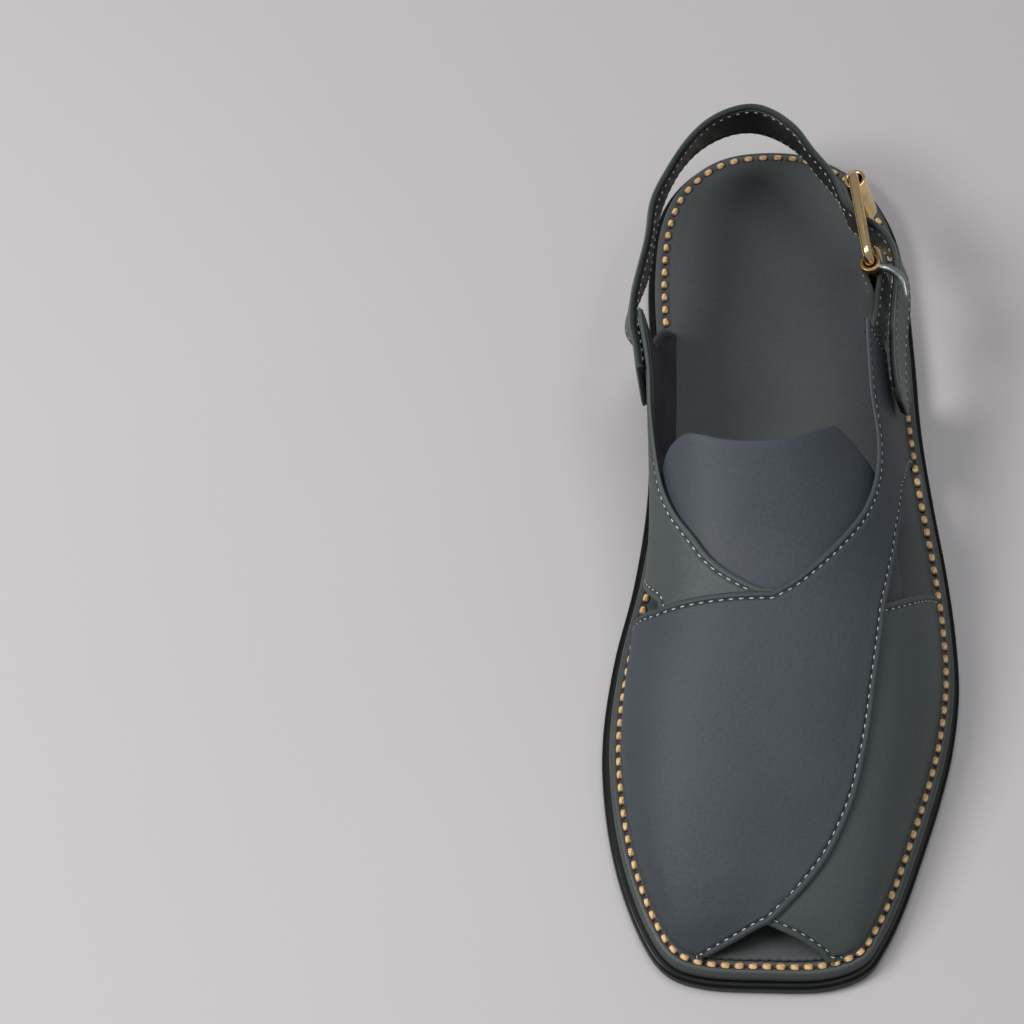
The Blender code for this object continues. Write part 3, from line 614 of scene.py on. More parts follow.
def waxed_thread(name, tone, shade, turns, strands):
    """Twisted thread: the strands wind round each stitch by its own map."""
    s = Shader(name)
    place = s.node("ShaderNodeUVMap", {"uv_map": "thread"}, {}, "UV")
    around = s.node("ShaderNodeSeparateXYZ", {}, {0: place}, "X")
    along = s.node("ShaderNodeSeparateXYZ", {}, {0: place}, "Y")
    twist = ((around * strands + along * turns) * math.pi).sine().size()
    fibres = s.noise(2400.0, 3.0)
    pale = [c + (1 - c) * 0.22 for c in tone]
    color = s.mix(fibres.ramp(0.35, 0.65), tone, pale)
    # Painted shade between the strands: darker where the twist pattern is low, in its grooves
    color = s.mix(twist.ramp(0.02, 0.5), s.mix(0.5, shade, tone), color)
    # Painted shade at both ends of each stitch, where the thread dips into its hole
    color = s.mix((along - 0.5).size().ramp(0.12, 0.27), color, shade)
    color = s.mix((along - 0.5).size().ramp(0.24, 0.34), color, [c * 0.12 for c in shade])
    s.set(Base_Color=color, Roughness=0.42 + fibres * 0.18, Specular_IOR_Level=0.6)
    s.relief(twist + fibres * 0.3, 0.16 * MM)
    return s.material


def metal(name, tone, dull, roughness, wear):
    s = Shader(name)
    haze = s.noise(120.0, 5.0)
    fine = s.noise(1400.0, 2.0)
    s.set(Base_Color=s.mix(haze.ramp(0.52, 0.72) * wear, tone, dull), Metallic=1.0,
          Roughness=roughness + haze.ramp(0.45, 0.75) * 0.16 + (fine - 0.5) * 0.05)
    s.relief(fine + haze, 0.02 * MM)
    return s.material


def pale_floor(name):
    s = Shader(name)
    cloud = s.noise(2.2, 3.0)
    s.set(Base_Color=s.mix(cloud.ramp(0.3, 0.7), (0.448, 0.434, 0.440), (0.472, 0.457, 0.463)),
          Roughness=0.62)
    s.relief(s.noise(260.0, 3.0), 0.05 * MM)
    return s.material


def linked(name, data):
    """An object of the scene with this mesh, curve, light or camera."""
    obj = bpy.data.objects.new(name, data)
    bpy.context.scene.collection.objects.link(obj)
    return obj


def smooth_piece(name, mesh, sharp):
    """A mesh as an object at the origin, smooth apart from edges over an angle in degrees."""
    mesh.shade_smooth()
    mesh.set_sharp_from_angle(angle=math.radians(sharp))
    return linked(name, mesh)


def finish_piece(name, bm, materials):
    mesh = bpy.data.meshes.new(name)
    bm.to_mesh(mesh)
    bm.free()
    for material in materials:
        mesh.materials.append(material)
    return smooth_piece(name, mesh, 38)


def grid_mesh(points):
    """A bmesh grid whose vertices lie at the points, an array by row and column."""
    rows, columns = points.shape[:2]
    bm = bmesh.new()
    bmesh.ops.create_grid(bm, x_segments=columns - 1, y_segments=rows - 1, size=1.0)
    bm.verts.ensure_lookup_table()
    for vert, point in zip(bm.verts, points.reshape(-1, 3)):
        vert.co = point
    return bm


def turn_faces(bm, outwards):
    """Faces all one way round, so that outwards(face) adds up to more than 0."""
    bmesh.ops.recalc_face_normals(bm, faces=bm.faces[:])
    if sum(outwards(face) for face in bm.faces) < 0:
        bmesh.ops.reverse_faces(bm, faces=bm.faces[:])


def rim_tree(bm, free):
    """Points close together along the rim edges for which free(edge) holds."""
    spacing = 0.25 * MM
    points = []
    for edge in bm.edges:
        if edge.is_boundary and free(edge):
            a, b = (v.co for v in edge.verts)
            count = max(1, int((b - a).length / spacing))
            points += [a.lerp(b, k / count) for k in range(count + 1)]
    tree = KDTree(len(points))
    for i, point in enumerate(points):
        tree.insert(point, i)
    tree.balance()
    return tree


def rim_layer(bm, free):
    """A layer of each vertex's distance in mm from the free rim, and the distances."""
    rim = bm.verts.layers.float.new("rim")
    tree = rim_tree(bm, free)
    distances = [tree.find(vert.co)[2] for vert in bm.verts]
    for vert, distance in zip(bm.verts, distances):
        vert[rim] = distance / MM
    return rim, distances


def fold_profile(d):
    """How far a folded edge and its seam lift the leather, at a distance from the rim."""
    d = d / MM
    round_off = -0.55 * max(0.0, 1 - d / 0.75) ** 2
    puff = 0.24 * math.exp(-((d - 1.15) / 0.62) ** 2)
    groove = -0.26 * math.exp(-((d - 2.2) / 0.42) ** 2)
    behind = 0.10 * math.exp(-((d - 3.2) / 0.7) ** 2)
    return (round_off + puff + groove + behind) * MM


def contour(bm, layer, level):
    """Lines on a mesh where a vertex value crosses a level, as chains of points."""
    crossing = {}
    for edge in bm.edges:
        a, b = edge.verts
        if (a[layer] - level) * (b[layer] - level) < 0:
            share = (level - a[layer]) / (b[layer] - a[layer])
            normal = a.normal.lerp(b.normal, share).normalized()
            crossing[edge] = (a.co.lerp(b.co, share), normal)
    links = {edge: [] for edge in crossing}
    for face in bm.faces:
        cut = [e for e in face.edges if e in crossing]
        if len(cut) == 2:
            links[cut[0]].append(cut[1])
            links[cut[1]].append(cut[0])
    chains = []
    left = set(crossing)
    starts = [e for e in crossing if len(links[e]) == 1] + list(crossing)
    for start in starts:
        if start not in left:
            continue
        chain = []
        edge = start
        while edge is not None:
            left.discard(edge)
            chain.append([*crossing[edge][0], *crossing[edge][1]])
            edge = next((e for e in links[edge] if e in left), None)
        if len(chain) > 4:
            chains.append(np.array(chain))
    return chains


def stitch_frames(places, ways, normals, size, lift=0.0):
    """Matrices that turn a unit ball into a barrel of thread at each place."""
    frames = []
    for place, way, normal in zip(places, ways, normals):
        along = Vector(way).normalized()
        side = along.cross(Vector(normal)).normalized()
        out = side.cross(along)
        frame = Matrix((side * size[1] / 2, out * size[2] / 2, along * size[0] / 2)).transposed()
        frame = frame.to_4x4()
        frame.translation = Vector(place) + out * lift
        frames.append(frame)
    return frames


def thread_piece(name, frames, segments, material):
    """One ball of thread copied to every frame, each with its own map for the twist.

    segments are the ball's, around and along.
    """
    one = bmesh.new()
    one.loops.layers.uv.new("thread")
    bmesh.ops.create_uvsphere(one, u_segments=segments[0], v_segments=segments[1], radius=1.0,
                              calc_uvs=True)
    count = len(one.verts)
    ball = bpy.data.meshes.new(name)
    one.to_mesh(ball)
    one.free()
    bm = bmesh.new()
    for _ in frames:
        bm.from_mesh(ball)
    for i, vert in enumerate(bm.verts):
        vert.co = frames[i // count] @ vert.co
    return finish_piece(name, bm, [material])


def fine_seam(chains, flip=1.0):
    """Frames of fine stitches along chains of places and normals."""
    frames = []
    for chain in chains:
        places, ways = even_places(chain, FINE_PITCH, False)
        frames += stitch_frames(places[:, :3], ways, places[:, 3:] * flip, FINE_STITCH,
                                FINE_LIFT)
    return frames


def profile_plate(name, outline, profile, materials, zigzag=0.0):
    """A plate whose rim follows (inset, height) pairs in mm from its underside to its top.

    zigzag is how deep fine teeth cut into the rim.
    """
    count = len(outline)
    bm = bmesh.new()
    ring = bmesh.ops.create_circle(bm, cap_ends=False, segments=count, radius=1.0)["verts"]
    teeth = zigzag * np.where(np.arange(count) % 4 < 2, 1.0, 0.0)
    for step, (inset, height) in enumerate(profile):
        if step:
            edges = [bm.edges.get((ring[i], ring[(i + 1) % count])) for i in range(count)]
            made = bmesh.ops.extrude_edge_only(bm, edges=edges)["geom"]
            fresh = {g for g in made if isinstance(g, bmesh.types.BMVert)}
            ring = [next(e.other_vert(v) for e in v.link_edges if e.other_vert(v) in fresh)
                    for v in ring]
        for vert, (x, y) in zip(ring, inset_curve(outline, inset * MM + teeth)):
            vert.co = (x, y, height * MM)
    bmesh.ops.holes_fill(bm, edges=[e for e in bm.edges if e.is_boundary])
    bmesh.ops.recalc_face_normals(bm, faces=bm.faces[:])
    return finish_piece(name, bm, materials)


def build_outsole(material):
    outline, _ = sole_outline(SOLE_POINTS)
    profile = ((9.0, 0.0), (5.6, 0.0), (5.2, 0.55), (4.6, 0.55), (4.2, 0.0), (1.2, 0.0),
               (0.5, 0.12), (0.12, 0.5), (0.0, 1.1), (0.0, 3.4), (0.12, 4.0), (0.5, 4.38),
               (1.2, 4.5), (3.0, 4.5))
    outsole = profile_plate("outsole_rubber", outline, profile, [material])
    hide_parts("outsole")
    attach(outsole, "shoe")


def build_sole_channel(material):
    """The sunk seam round the underside, between the tread and the edge."""
    places, ways = even_places(sole_line(STITCH_INSET, CHANNEL_HEIGHT), CHANNEL_PITCH, True)
    down = np.tile([0.0, 0.0, -1.0], (len(places), 1))
    frames = stitch_frames(places, ways, down, CHANNEL_STITCH)
    seam = thread_piece("underside_seam", frames, FINE_BALL, material)
    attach(seam, "shoe")


def build_board(material):
    """Leather-wrapped board: a roll round the edge and a sunk line under the thread."""
    outline, _ = sole_outline(SOLE_POINTS)
    low = BOARD_LOW / MM
    top = BOARD_TOP / MM
    profile = ((6.0, low), (2.4, low), (2.08, low + 0.35), (2.0, low + 1.1), (2.0, low + 2.5),
               (2.12, low + 3.3), (2.45, top - 0.42), (2.95, top - 0.02), (3.55, top + 0.12),
               (4.1, top - 0.02), (4.6, top - 0.30), (5.2, top - 0.38), (6.0, top - 0.12),
               (7.0, top), (9.0, top))
    board = profile_plate("welt_board_leather", outline, profile, [material])
    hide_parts("welt_board")
    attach(board, "shoe")


def build_footbed(material):
    """Footbed leather with the fine cut teeth of its rim beside the thread."""
    outline, _ = sole_outline(FOOTBED_POINTS)
    low = BOARD_TOP / MM + 0.15
    top = FOOTBED_TOP / MM
    inset = FOOTBED_INSET / MM
    profile = ((inset + 2, low), (inset, low), (inset - 0.05, top - 0.5),
               (inset + 0.2, top - 0.16), (inset + 0.7, top - 0.02), (inset + 1.5, top),
               (inset + 3.0, top))
    footbed = profile_plate("footbed_leather", outline, profile, [material], zigzag=0.2 * MM)
    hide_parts("footbed")
    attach(footbed, "shoe")


def flanged(y, side):
    """Whether a panel's foot lies under the thread at this Y. side is above 0 for lateral."""
    station = (y + LENGTH / 2) / LENGTH
    if side > 0:
        front = station < V_UNDER_STATION + B_REAR_SLANT / LENGTH
        leg = (LEG_LATERAL[0] + LEG_LATERAL_SLANT[0] / LENGTH,
               LEG_LATERAL[1] + LEG_LATERAL_SLANT[1] / LENGTH)
    else:
        front = station < V_STATION
        leg = (LEG_MEDIAL[0] + LEG_MEDIAL_SLANT[0] / LENGTH,
               LEG_MEDIAL[1] + LEG_MEDIAL_SLANT[1] / LENGTH)
    return (front and station > TOE_APEX / 2) or leg[0] < station < leg[1]


def build_welt_thread(material):
    """The thick gold thread that holds everything to the sole, all the way round."""
    line = sole_line(STITCH_INSET, BOARD_TOP + WELT_LIFT)
    pitch = np.interp(line[:, 1], [-LENGTH / 2, LENGTH / 2], WELT_PITCH)
    places, ways = even_places(line, pitch, True)
    for place in places:
        if flanged(place[1], place[0]):
            place[2] += FLANGE_THREAD_LIFT
    rng = np.random.default_rng(7)
    turn, tilt = 0.05, 0.12
    ways = ways + rng.normal(0.0, turn, ways.shape)
    up = np.tile([0.0, 0.0, 1.0], (len(places), 1)) + rng.normal(0.0, tilt, ways.shape)
    frames = stitch_frames(places, ways, up, WELT_STITCH)
    thread = thread_piece("welt_thread", frames, WELT_BALL, material)
    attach(thread, "shoe")


def spread(last, station, start, end, count):
    """Angles across one station, closer together near both ends."""
    fine = np.linspace(start, end, 80)
    line = last.point(np.full(80, station), fine)
    along = np.concatenate([[0.0], np.cumsum(np.linalg.norm(np.diff(line, axis=0), axis=1))])
    near = RIM_STEPS * min(1.0, along[-1] / (RIM_ROOM * RIM_STEPS[-1]))
    middle = np.linspace(near[-1], along[-1] - near[-1], count - 2 * len(near) + 2)[1:-1]
    return np.interp(np.concatenate([near, middle, along[-1] - near[::-1]]), along, fine)


def stations_between(knots, step):
    """Stations along the shoe, closer together near each knot."""
    near = RIM_STEPS / LENGTH
    out = []
    for start, end in zip(knots, knots[1:]):
        part = near * min(1.0, (end - start) / (RIM_ROOM * near[-1]))
        count = max(2, int((end - start - 2 * part[-1]) * LENGTH / step))
        middle = np.linspace(start + part[-1], end - part[-1], count + 1)[1:-1]
        out += [*(start + part), *middle, *(end - part[::-1][:-1])]
    return np.array(out + [knots[-1]])


def slant_at(station, leg, slants, front_slant):
    """How far a lower edge reaches back at the foot line."""
    if station <= V_UNDER_STATION:
        share = (station - B_SLANT_START) / (V_UNDER_STATION - B_SLANT_START)
        return front_slant * min(1.0, max(0.0, share))
    if station <= leg[0]:
        return slants[0]
    share = min(1.0, (station - leg[0]) / (leg[1] - leg[0]))
    return slants[0] + (slants[1] - slants[0]) * share


class Panel:
    """One crossed panel on the last: four blocks of columns from lateral foot to medial foot.

    counts are the columns of each block. A panel's own class gives its knots along the shoe, its
    part of the toe opening, its toe rows, its slant at the rear, its lift and its blocks' ends.
    """

    counts = (20, 28, 34, 24)

    def __init__(self, last):
        self.last = last
        self.stations = stations_between(self.knots, PANEL_STEP)
        self.edges = [hermite(EDGES, column) for column in (1, 2, 3, 4)]
        rows = [self.row(station) for station in self.stations]
        self.station = np.array([r[0] for r in rows])
        self.angle = np.array([r[1] for r in rows])
        self.starts = np.cumsum((0,) + self.counts)

    def opening_angle(self, station):
        xs, stations = np.transpose(self.opening)
        xs = (xs + TOE_MIDDLE) * BALL_WIDTH - self.last.middle
        return self.last.angle_of_x(station, float(np.interp(station, stations, xs)))

    def row(self, station):
        throat_lateral, low_lateral, throat_medial, low_medial = (
            float(edge(station)) for edge in self.edges)
        if station <= self.v_station:
            throat_lateral = throat_medial = 90.0
        low_lateral, throat_lateral, throat_medial = self.toe(
            station, low_lateral, throat_lateral, throat_medial)
        low_medial = max(low_medial, throat_medial + (180.0 - throat_medial) * MEDIAL_SPLIT)
        slant_lateral = slant_at(station, LEG_LATERAL, LEG_LATERAL_SLANT, B_REAR_SLANT)
        slant_medial = slant_at(station, LEG_MEDIAL, LEG_MEDIAL_SLANT, self.rear_slant)
        leg_out = spread(self.last, station, 0.0, low_lateral, self.counts[0])
        side = spread(self.last, station, low_lateral, throat_lateral, self.counts[1])
        crown = spread(self.last, station, throat_medial, low_medial, self.counts[2])
        leg_in = spread(self.last, station, low_medial, 180.0, self.counts[3])
        out_share = 1 - leg_out / low_lateral
        in_share = (leg_in - low_medial) / (180.0 - low_medial)
        station_row = np.concatenate([
            station + slant_lateral * out_share / LENGTH, np.full(len(side), station),
            np.full(len(crown), station), station + slant_medial * in_share / LENGTH])
        return station_row, np.concatenate([leg_out, side, crown, leg_in])

    def grid(self):
        """Points of the outer face by row and column, and the way that each one faces."""
        points = self.last.point(self.station, self.angle)
        normals = self.last.normal(self.station, self.angle)
        flat = normals[:, [0, -1]] * [1.0, 1.0, 0.0]
        normals[:, [0, -1]] = flat / np.linalg.norm(flat, axis=-1)[..., None]
        lifted = points + normals * (self.lift * self.foot_share())[..., None]
        shares = self.toe_shares
        lifted = np.concatenate([[self.toe_row(lifted[0], share)] for share in shares] + [lifted])
        normals = np.concatenate([normals[:1]] * len(shares) + [normals])
        turned_in = np.concatenate([1 - np.array(shares), np.ones(len(points))])[:, None]
        columns = [self.flange(lifted[:, 0], normals[:, 0], share * turned_in)
                   for share in FLANGE_SHARES]
        right = [self.flange(lifted[:, -1], normals[:, -1], share * turned_in)
                 for share in FLANGE_SHARES[::-1]]
        rest = [lifted[:, k] for k in range(lifted.shape[1])]
        directions = np.concatenate([normals[:, :1]] * 3 + [normals] + [normals[:, -1:]] * 3, 1)
        return np.stack(columns + rest + right, axis=1), directions

    def mesh(self):
        """The panel's outer face, with its folded rims, as a bmesh, and its rim layer."""
        grid, directions = self.grid()
        bm = grid_mesh(grid)
        facing = bm.verts.layers.float_vector.new("facing")
        foot = bm.verts.layers.int.new("foot")
        last_column = grid.shape[1] - 1
        for index, vert in enumerate(bm.verts):
            row, column = divmod(index, last_column + 1)
            vert[facing] = directions[row, column]
            vert[foot] = int(column in (0, last_column))
        blocks = self.blocks()
        doomed = []
        for index, face in enumerate(bm.faces):
            row, column = divmod(index, last_column)
            block = blocks[column]
            row = max(0, row - len(self.toe_shares))
            middle = (self.stations[row] + self.stations[row + 1]) / 2
            if block is None or not self.allowed(block, middle):
                doomed.append(face)
        bmesh.ops.delete(bm, geom=doomed, context="FACES")
        bmesh.ops.remove_doubles(bm, verts=bm.verts[:], dist=0.02 * MM)
        turn_faces(bm, lambda face: face.normal.z)
        rim, distances = rim_layer(bm, lambda e: not all(v[foot] for v in e.verts))
        for vert, distance in zip(bm.verts, distances):
            vert.co += vert[facing].normalized() * fold_profile(distance)
        bm.normal_update()
        return bm, rim

    def foot_share(self):
        """0 at both foot lines and 1 from a little way up, for each row and column."""
        height = np.clip((180.0 - np.abs(self.angle * 2 - 180.0)) / 2 / LIFT_ANGLE, 0.0, 1.0)
        return FOOT_LIFT_SHARE + (1 - FOOT_LIFT_SHARE) * height * height * (3 - 2 * height)

    def toe_row(self, row, share):
        """The front row carried forward and down to the thread at the toe."""
        out = row.copy()
        out[:, 1] -= TOE_FRONT_REACH * share
        out[:, 2] = FLANGE_TOP + (row[:, 2] - FLANGE_TOP) * (1 - share) ** TOE_ROUND
        edge = self.starts[2] - 1
        foot_x = min(row[0, 0], self.last.toe_reach(out[0, 1]))
        edge_x = row[edge, 0] + TOE_FRONT_SPREAD * share
        blend = np.clip((row[:, 0] - row[edge, 0]) / (row[0, 0] - row[edge, 0]), 0.0, 1.0)
        out[:, 0] = edge_x + (foot_x - edge_x) * blend
        return out

    def flange(self, foot_points, normals, share):
        """Points of the foot turned out under the thread."""
        out = foot_points + normals * FLANGE_REACH * share
        drop = np.clip(foot_points[:, 2] - FLANGE_TOP, 0.0, 1.0)
        out[:, 2] = foot_points[:, 2] - drop * np.sin(np.ravel(share) * math.pi / 2)
        return out

    def blocks(self):
        """The block of each column of faces, or None between two blocks."""
        named = [0] * len(FLANGE_SHARES)
        for block, count in enumerate(self.counts):
            named += [block] * (count - 1) + [None]
        return named[:-1] + [3] * len(FLANGE_SHARES)


class OverPanel(Panel):
    """Panel A: medial forefoot, across the instep to the lateral arm and leg."""

    knots = (TOE_STATION, TOE_APEX, V_STATION, *LEG_LATERAL, ARM_LATERAL_END)
    v_station = V_STATION
    opening = TOE_OPENING_MEDIAL
    toe_shares = ()
    rear_slant = 5.0 * MM
    lift = OVERLAP_STEP

    def toe(self, station, low, throat_lateral, throat_medial):
        if station < TOE_APEX:
            low = self.opening_angle(station)
        if low > throat_lateral - LEAST_ANGLE:
            throat_lateral = low + LEAST_ANGLE
            throat_medial = max(throat_medial, throat_lateral)
        return low, throat_lateral, throat_medial

    def allowed(self, block, station):
        if block == 0:
            return LEG_LATERAL[0] < station < LEG_LATERAL[1]
        return station < (ARM_LATERAL_END if block == 1 else V_STATION)


class UnderPanel(Panel):
    """Panel B: lateral forefoot, under panel A to the medial arm and leg."""

    knots = (TOE_STATION, TOE_APEX, V_UNDER_STATION, *LEG_MEDIAL)
    v_station = V_UNDER_STATION
    opening = TOE_OPENING_LATERAL
    toe_shares = (1.0, 0.66, 0.33)
    rear_slant = 0.0
    lift = 0.0

    def toe(self, station, low, throat_lateral, throat_medial):
        if station < TOE_APEX:
            throat_lateral = self.opening_angle(station)
        if station <= V_UNDER_STATION:
            low = throat_lateral * UNDER_SPLIT
        return low, throat_lateral, throat_medial

    def allowed(self, block, station):
        if block < 2:
            return station < V_UNDER_STATION
        return station > (TOE_APEX if block == 2 else LEG_MEDIAL[0])


def walled_piece(name, bm, thickness, materials, rim=2):
    """A piece with a wall inward from its outer face.

    materials are for its outside, its inside and a cut rim. rim is 0 for a folded one.
    """
    piece = finish_piece(name, bm, materials)
    modifier = piece.modifiers.new("wall", "SOLIDIFY")
    modifier.thickness = thickness
    modifier.offset = -1.0
    modifier.use_even_offset = False
    modifier.material_offset = 1
    modifier.material_offset_rim = rim
    return piece


def build_upper(last, materials):
    frames = []
    pieces = []
    for name, kind, wall, key in (("panel_over", OverPanel, OVER_WALL, "panel"),
                                  ("panel_under", UnderPanel, UNDER_WALL, "panel_green")):
        bm, rim = kind(last).mesh()
        frames += fine_seam(contour(bm, rim, SEAM_INSET / MM))
        layers = [materials[key], materials["lining"], materials["cut"]]
        pieces.append(walled_piece(name, bm, wall, layers, rim=0))
    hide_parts("upper")
    stitches = thread_piece("panel_stitches", frames, FINE_BALL, materials["white_thread"])
    for piece in pieces:
        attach(piece, "shoe")
    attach(stitches, "shoe")


def build_tongue(last, materials):
    """Smooth plate under the panels with a light cut edge at its free end."""
    end_at = hermite(TONGUE_END, 1)
    angles = np.linspace(TONGUE_END[0][0], TONGUE_END[-1][0], 67)
    shares = np.concatenate([np.linspace(0.0, 0.93, 26), [0.955, 0.975, 0.99, 1.0]])
    station = TONGUE_START + (end_at(angles) - TONGUE_START)[None, :] * shares[:, None]
    angle = np.tile(angles, (len(shares), 1))
    thinned = np.clip((shares - TONGUE_EDGE) / (1 - TONGUE_EDGE), 0, 1)[:, None, None] ** 2
    depth = TONGUE_DEPTH + TONGUE_EDGE_DROP * thinned
    points = last.point(station, angle) - last.normal(station, angle) * depth
    bm = grid_mesh(points)
    turn_faces(bm, lambda face: face.normal.z)
    tongue = walled_piece("tongue_leather", bm, TONGUE_THICK,
                          [materials["tongue"], materials["lining"], materials["cut"]])
    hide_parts("tongue")
    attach(tongue, "shoe")


class BuckleAxes:
    """Axes of the buckle: up the bars, rearward along the frame and outward."""

    def __init__(self, middle):
        self.origin = np.array([FRONT_BAR[0] - middle, FRONT_BAR[1] - LENGTH / 2, FRONT_BAR[2]])
        self.up = np.array([-BUCKLE_LEAN, 0.0, 1.0])
        self.up /= np.linalg.norm(self.up)
        rear = np.array([REAR_BAR_SHIFT, math.sqrt(FRAME_REACH ** 2 - REAR_BAR_SHIFT ** 2), 0.0])
        rear -= self.up * (rear @ self.up)
        self.rear = rear / np.linalg.norm(rear)
        self.out = np.cross(self.rear, self.up)

    def at(self, rear, out, up):
        return self.origin + self.rear * rear + self.out * out + self.up * up


def strap_line(last, axes, per):
    """Middle line of the heel strap: x, y, z, inward lean and narrowing."""
    start = []
    for station, height in STRAP_ARM:
        angle = last.angle_of_height(station, height * INSTEP_HEIGHT)
        normal = last.normal(np.array([station]), np.array([angle]))[0]
        point = last.point(np.array([station]), np.array([angle]))[0]
        point = point + normal * (STRAP_CLEARANCE + STRAP_THICK / 2)
        start.append((*point, normal[2] / -normal[0], 0.0))
    heel = [(x * BALL_WIDTH - last.middle, y * LENGTH - LENGTH / 2, z * STRAP_HEIGHT, lean, narrow)
            for x, y, z, lean, narrow in STRAP_HEEL]
    end = [(*axes.at(rear * FRAME_REACH, out * FRAME_REACH, up * FRAME_REACH), BUCKLE_LEAN, 1.0)
           for rear, out, up in STRAP_BUCKLE]
    return open_curve(start + heel + end, per)


def build_strap(last, axes, materials):
    """Heel strap: leather outside, black gloss lining inside, stitched along both edges."""
    per = 10
    line = strap_line(last, axes, per)
    count = len(line)
    tip_rows = STRAP_TIP_SPANS * per
    shares = both_halves(STRAP_SHARES) - 0.5
    rows = []
    facing = []
    for i in range(count):
        x, y, z, lean, narrow = line[i]
        along = line[min(i + 1, count - 1), :2] - line[max(i - 1, 0), :2]
        along /= np.linalg.norm(along)
        outward = np.array([-along[1], along[0], 0.0])
        up = np.array([0.0, 0.0, 1.0]) - outward * lean
        up /= np.linalg.norm(up)
        normal = outward - up * (outward @ up)
        normal /= np.linalg.norm(normal)
        left = min(count - 1 - i, tip_rows) / tip_rows
        rounding = STRAP_TIP_WIDTH + (1 - STRAP_TIP_WIDTH) * math.sqrt(1 - (1 - left) ** 2)
        width = STRAP_WIDTH + (STRAP_BUCKLE_WIDTH - STRAP_WIDTH) * min(max(narrow, 0.0), 1.0)
        middle = np.array([x, y, z]) + normal * STRAP_THICK / 2
        rows.append([middle + up * width * rounding * share for share in shares])
        facing.append([normal] * len(shares))
    bm = grid_mesh(np.array(rows))
    directions = np.array(facing).reshape(-1, 3)
    bm.verts.index_update()
    turn_faces(bm, lambda face: face.normal @ Vector(directions[face.verts[0].index]))
    rim, distances = rim_layer(bm, lambda e: True)
    for vert, distance in zip(bm.verts, distances):
        vert.co += Vector(directions[vert.index]) * fold_profile(distance) * STRAP_FOLD
    bm.normal_update()
    chains = contour(bm, rim, SEAM_INSET / MM)
    inner = [np.hstack([chain[:, :3] - chain[:, 3:] * STRAP_THICK, chain[:, 3:]])
             for chain in chains]
    frames = fine_seam(chains) + fine_seam(inner, flip=-1.0)
    strap = walled_piece("heel_strap_leather", bm, STRAP_THICK,
                         [materials["strap"], materials["gloss_lining"], materials["cut_dark"]])
    stitches = thread_piece("strap_stitches", frames, FINE_BALL, materials["grey_thread"])
    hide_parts("heel_strap")
    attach(strap, "shoe")
    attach(stitches, "shoe")


def rod(name, points, radii, cyclic, material):
    """A round rod along points, as a mesh."""
    curve = bpy.data.curves.new(name, "CURVE")
    curve.dimensions = "3D"
    curve.bevel_depth = 1.0
    curve.bevel_resolution = 6
    curve.use_fill_caps = True
    spline = curve.splines.new("POLY")
    spline.points.add(len(points) - 1)
    for target, point, radius in zip(spline.points, points, radii):
        target.co = (*point, 1.0)
        target.radius = radius
    spline.use_cyclic_u = cyclic
    holder = linked(name, curve)
    graph = bpy.context.evaluated_depsgraph_get()
    mesh = bpy.data.meshes.new_from_object(holder.evaluated_get(graph))
    bpy.data.objects.remove(holder)
    mesh.materials.clear()
    mesh.materials.append(material)
    return smooth_piece(name, mesh, 50)


def build_frame(axes, material):
    half = FRAME_HEIGHT / 2
    inner = half - FRAME_CORNER
    corners = ((FRAME_CORNER, -inner, 180), (FRAME_REACH - FRAME_CORNER, -inner, 270),
               (FRAME_REACH - FRAME_CORNER, inner, 0), (FRAME_CORNER, inner, 90))
    points = []
    for rear, up, start in corners:
        for k in range(CORNER_STEPS + 1):
            turn = math.radians(start + 90 * k / CORNER_STEPS)
            points.append(axes.at(rear + FRAME_CORNER * math.cos(turn), 0.0,
                                  up + FRAME_CORNER * math.sin(turn)))
    frame = rod("buckle_frame_gold", points, [FRAME_ROD] * len(points), True, material)
    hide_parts("buckle_frame")
    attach(frame, "shoe")


def ring_about(name, axes, rear, radius, wall, low, high, edge, materials):
    """A turned ring round one of the buckle's bars: its outer material and its bore's.

    low and high are its ends along the bar, and edge is how far its rims are rounded.
    """
    bm = bmesh.new()
    centre = Vector(axes.at(rear, 0.0, 0.0))
    corners = [(radius - wall, low), (radius, low), (radius, high), (radius - wall, high)]
    verts = [bm.verts.new(axes.at(rear, r, h)) for r, h in corners]
    for a, b in zip(verts, verts[1:] + verts[:1]):
        bm.edges.new((a, b))
    bmesh.ops.spin(bm, geom=bm.verts[:] + bm.edges[:], cent=centre, axis=Vector(axes.up),
                   angle=2 * math.pi, steps=48, use_merge=True)
    bmesh.ops.remove_doubles(bm, verts=bm.verts[:], dist=0.001 * MM)
    bmesh.ops.recalc_face_normals(bm, faces=bm.faces[:])
    sharp = [e for e in bm.edges if e.is_manifold and e.calc_face_angle() > math.radians(60)]
    bmesh.ops.bevel(bm, geom=sharp, offset=edge, segments=3, profile=0.5, affect="EDGES",
                    material=-1)
    for face in bm.faces:
        spoke = face.calc_center_median() - centre
        spoke -= Vector(axes.up) * spoke.dot(Vector(axes.up))
        face.material_index = int(face.normal.dot(spoke.normalized()) < -0.9)
    return finish_piece(name, bm, materials)


def build_roller(axes, materials):
    # The bore gets the black gloss lining material: painted shade inside the tube
    roller = ring_about("buckle_roller_gold", axes, FRAME_REACH, ROLLER_RADIUS, ROLLER_WALL,
                        -ROLLER_HEIGHT / 2, ROLLER_HEIGHT / 2, 0.3 * MM,
                        [materials["gold"], materials["gloss_lining"]])
    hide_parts("buckle_roller")
    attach(roller, "roller")


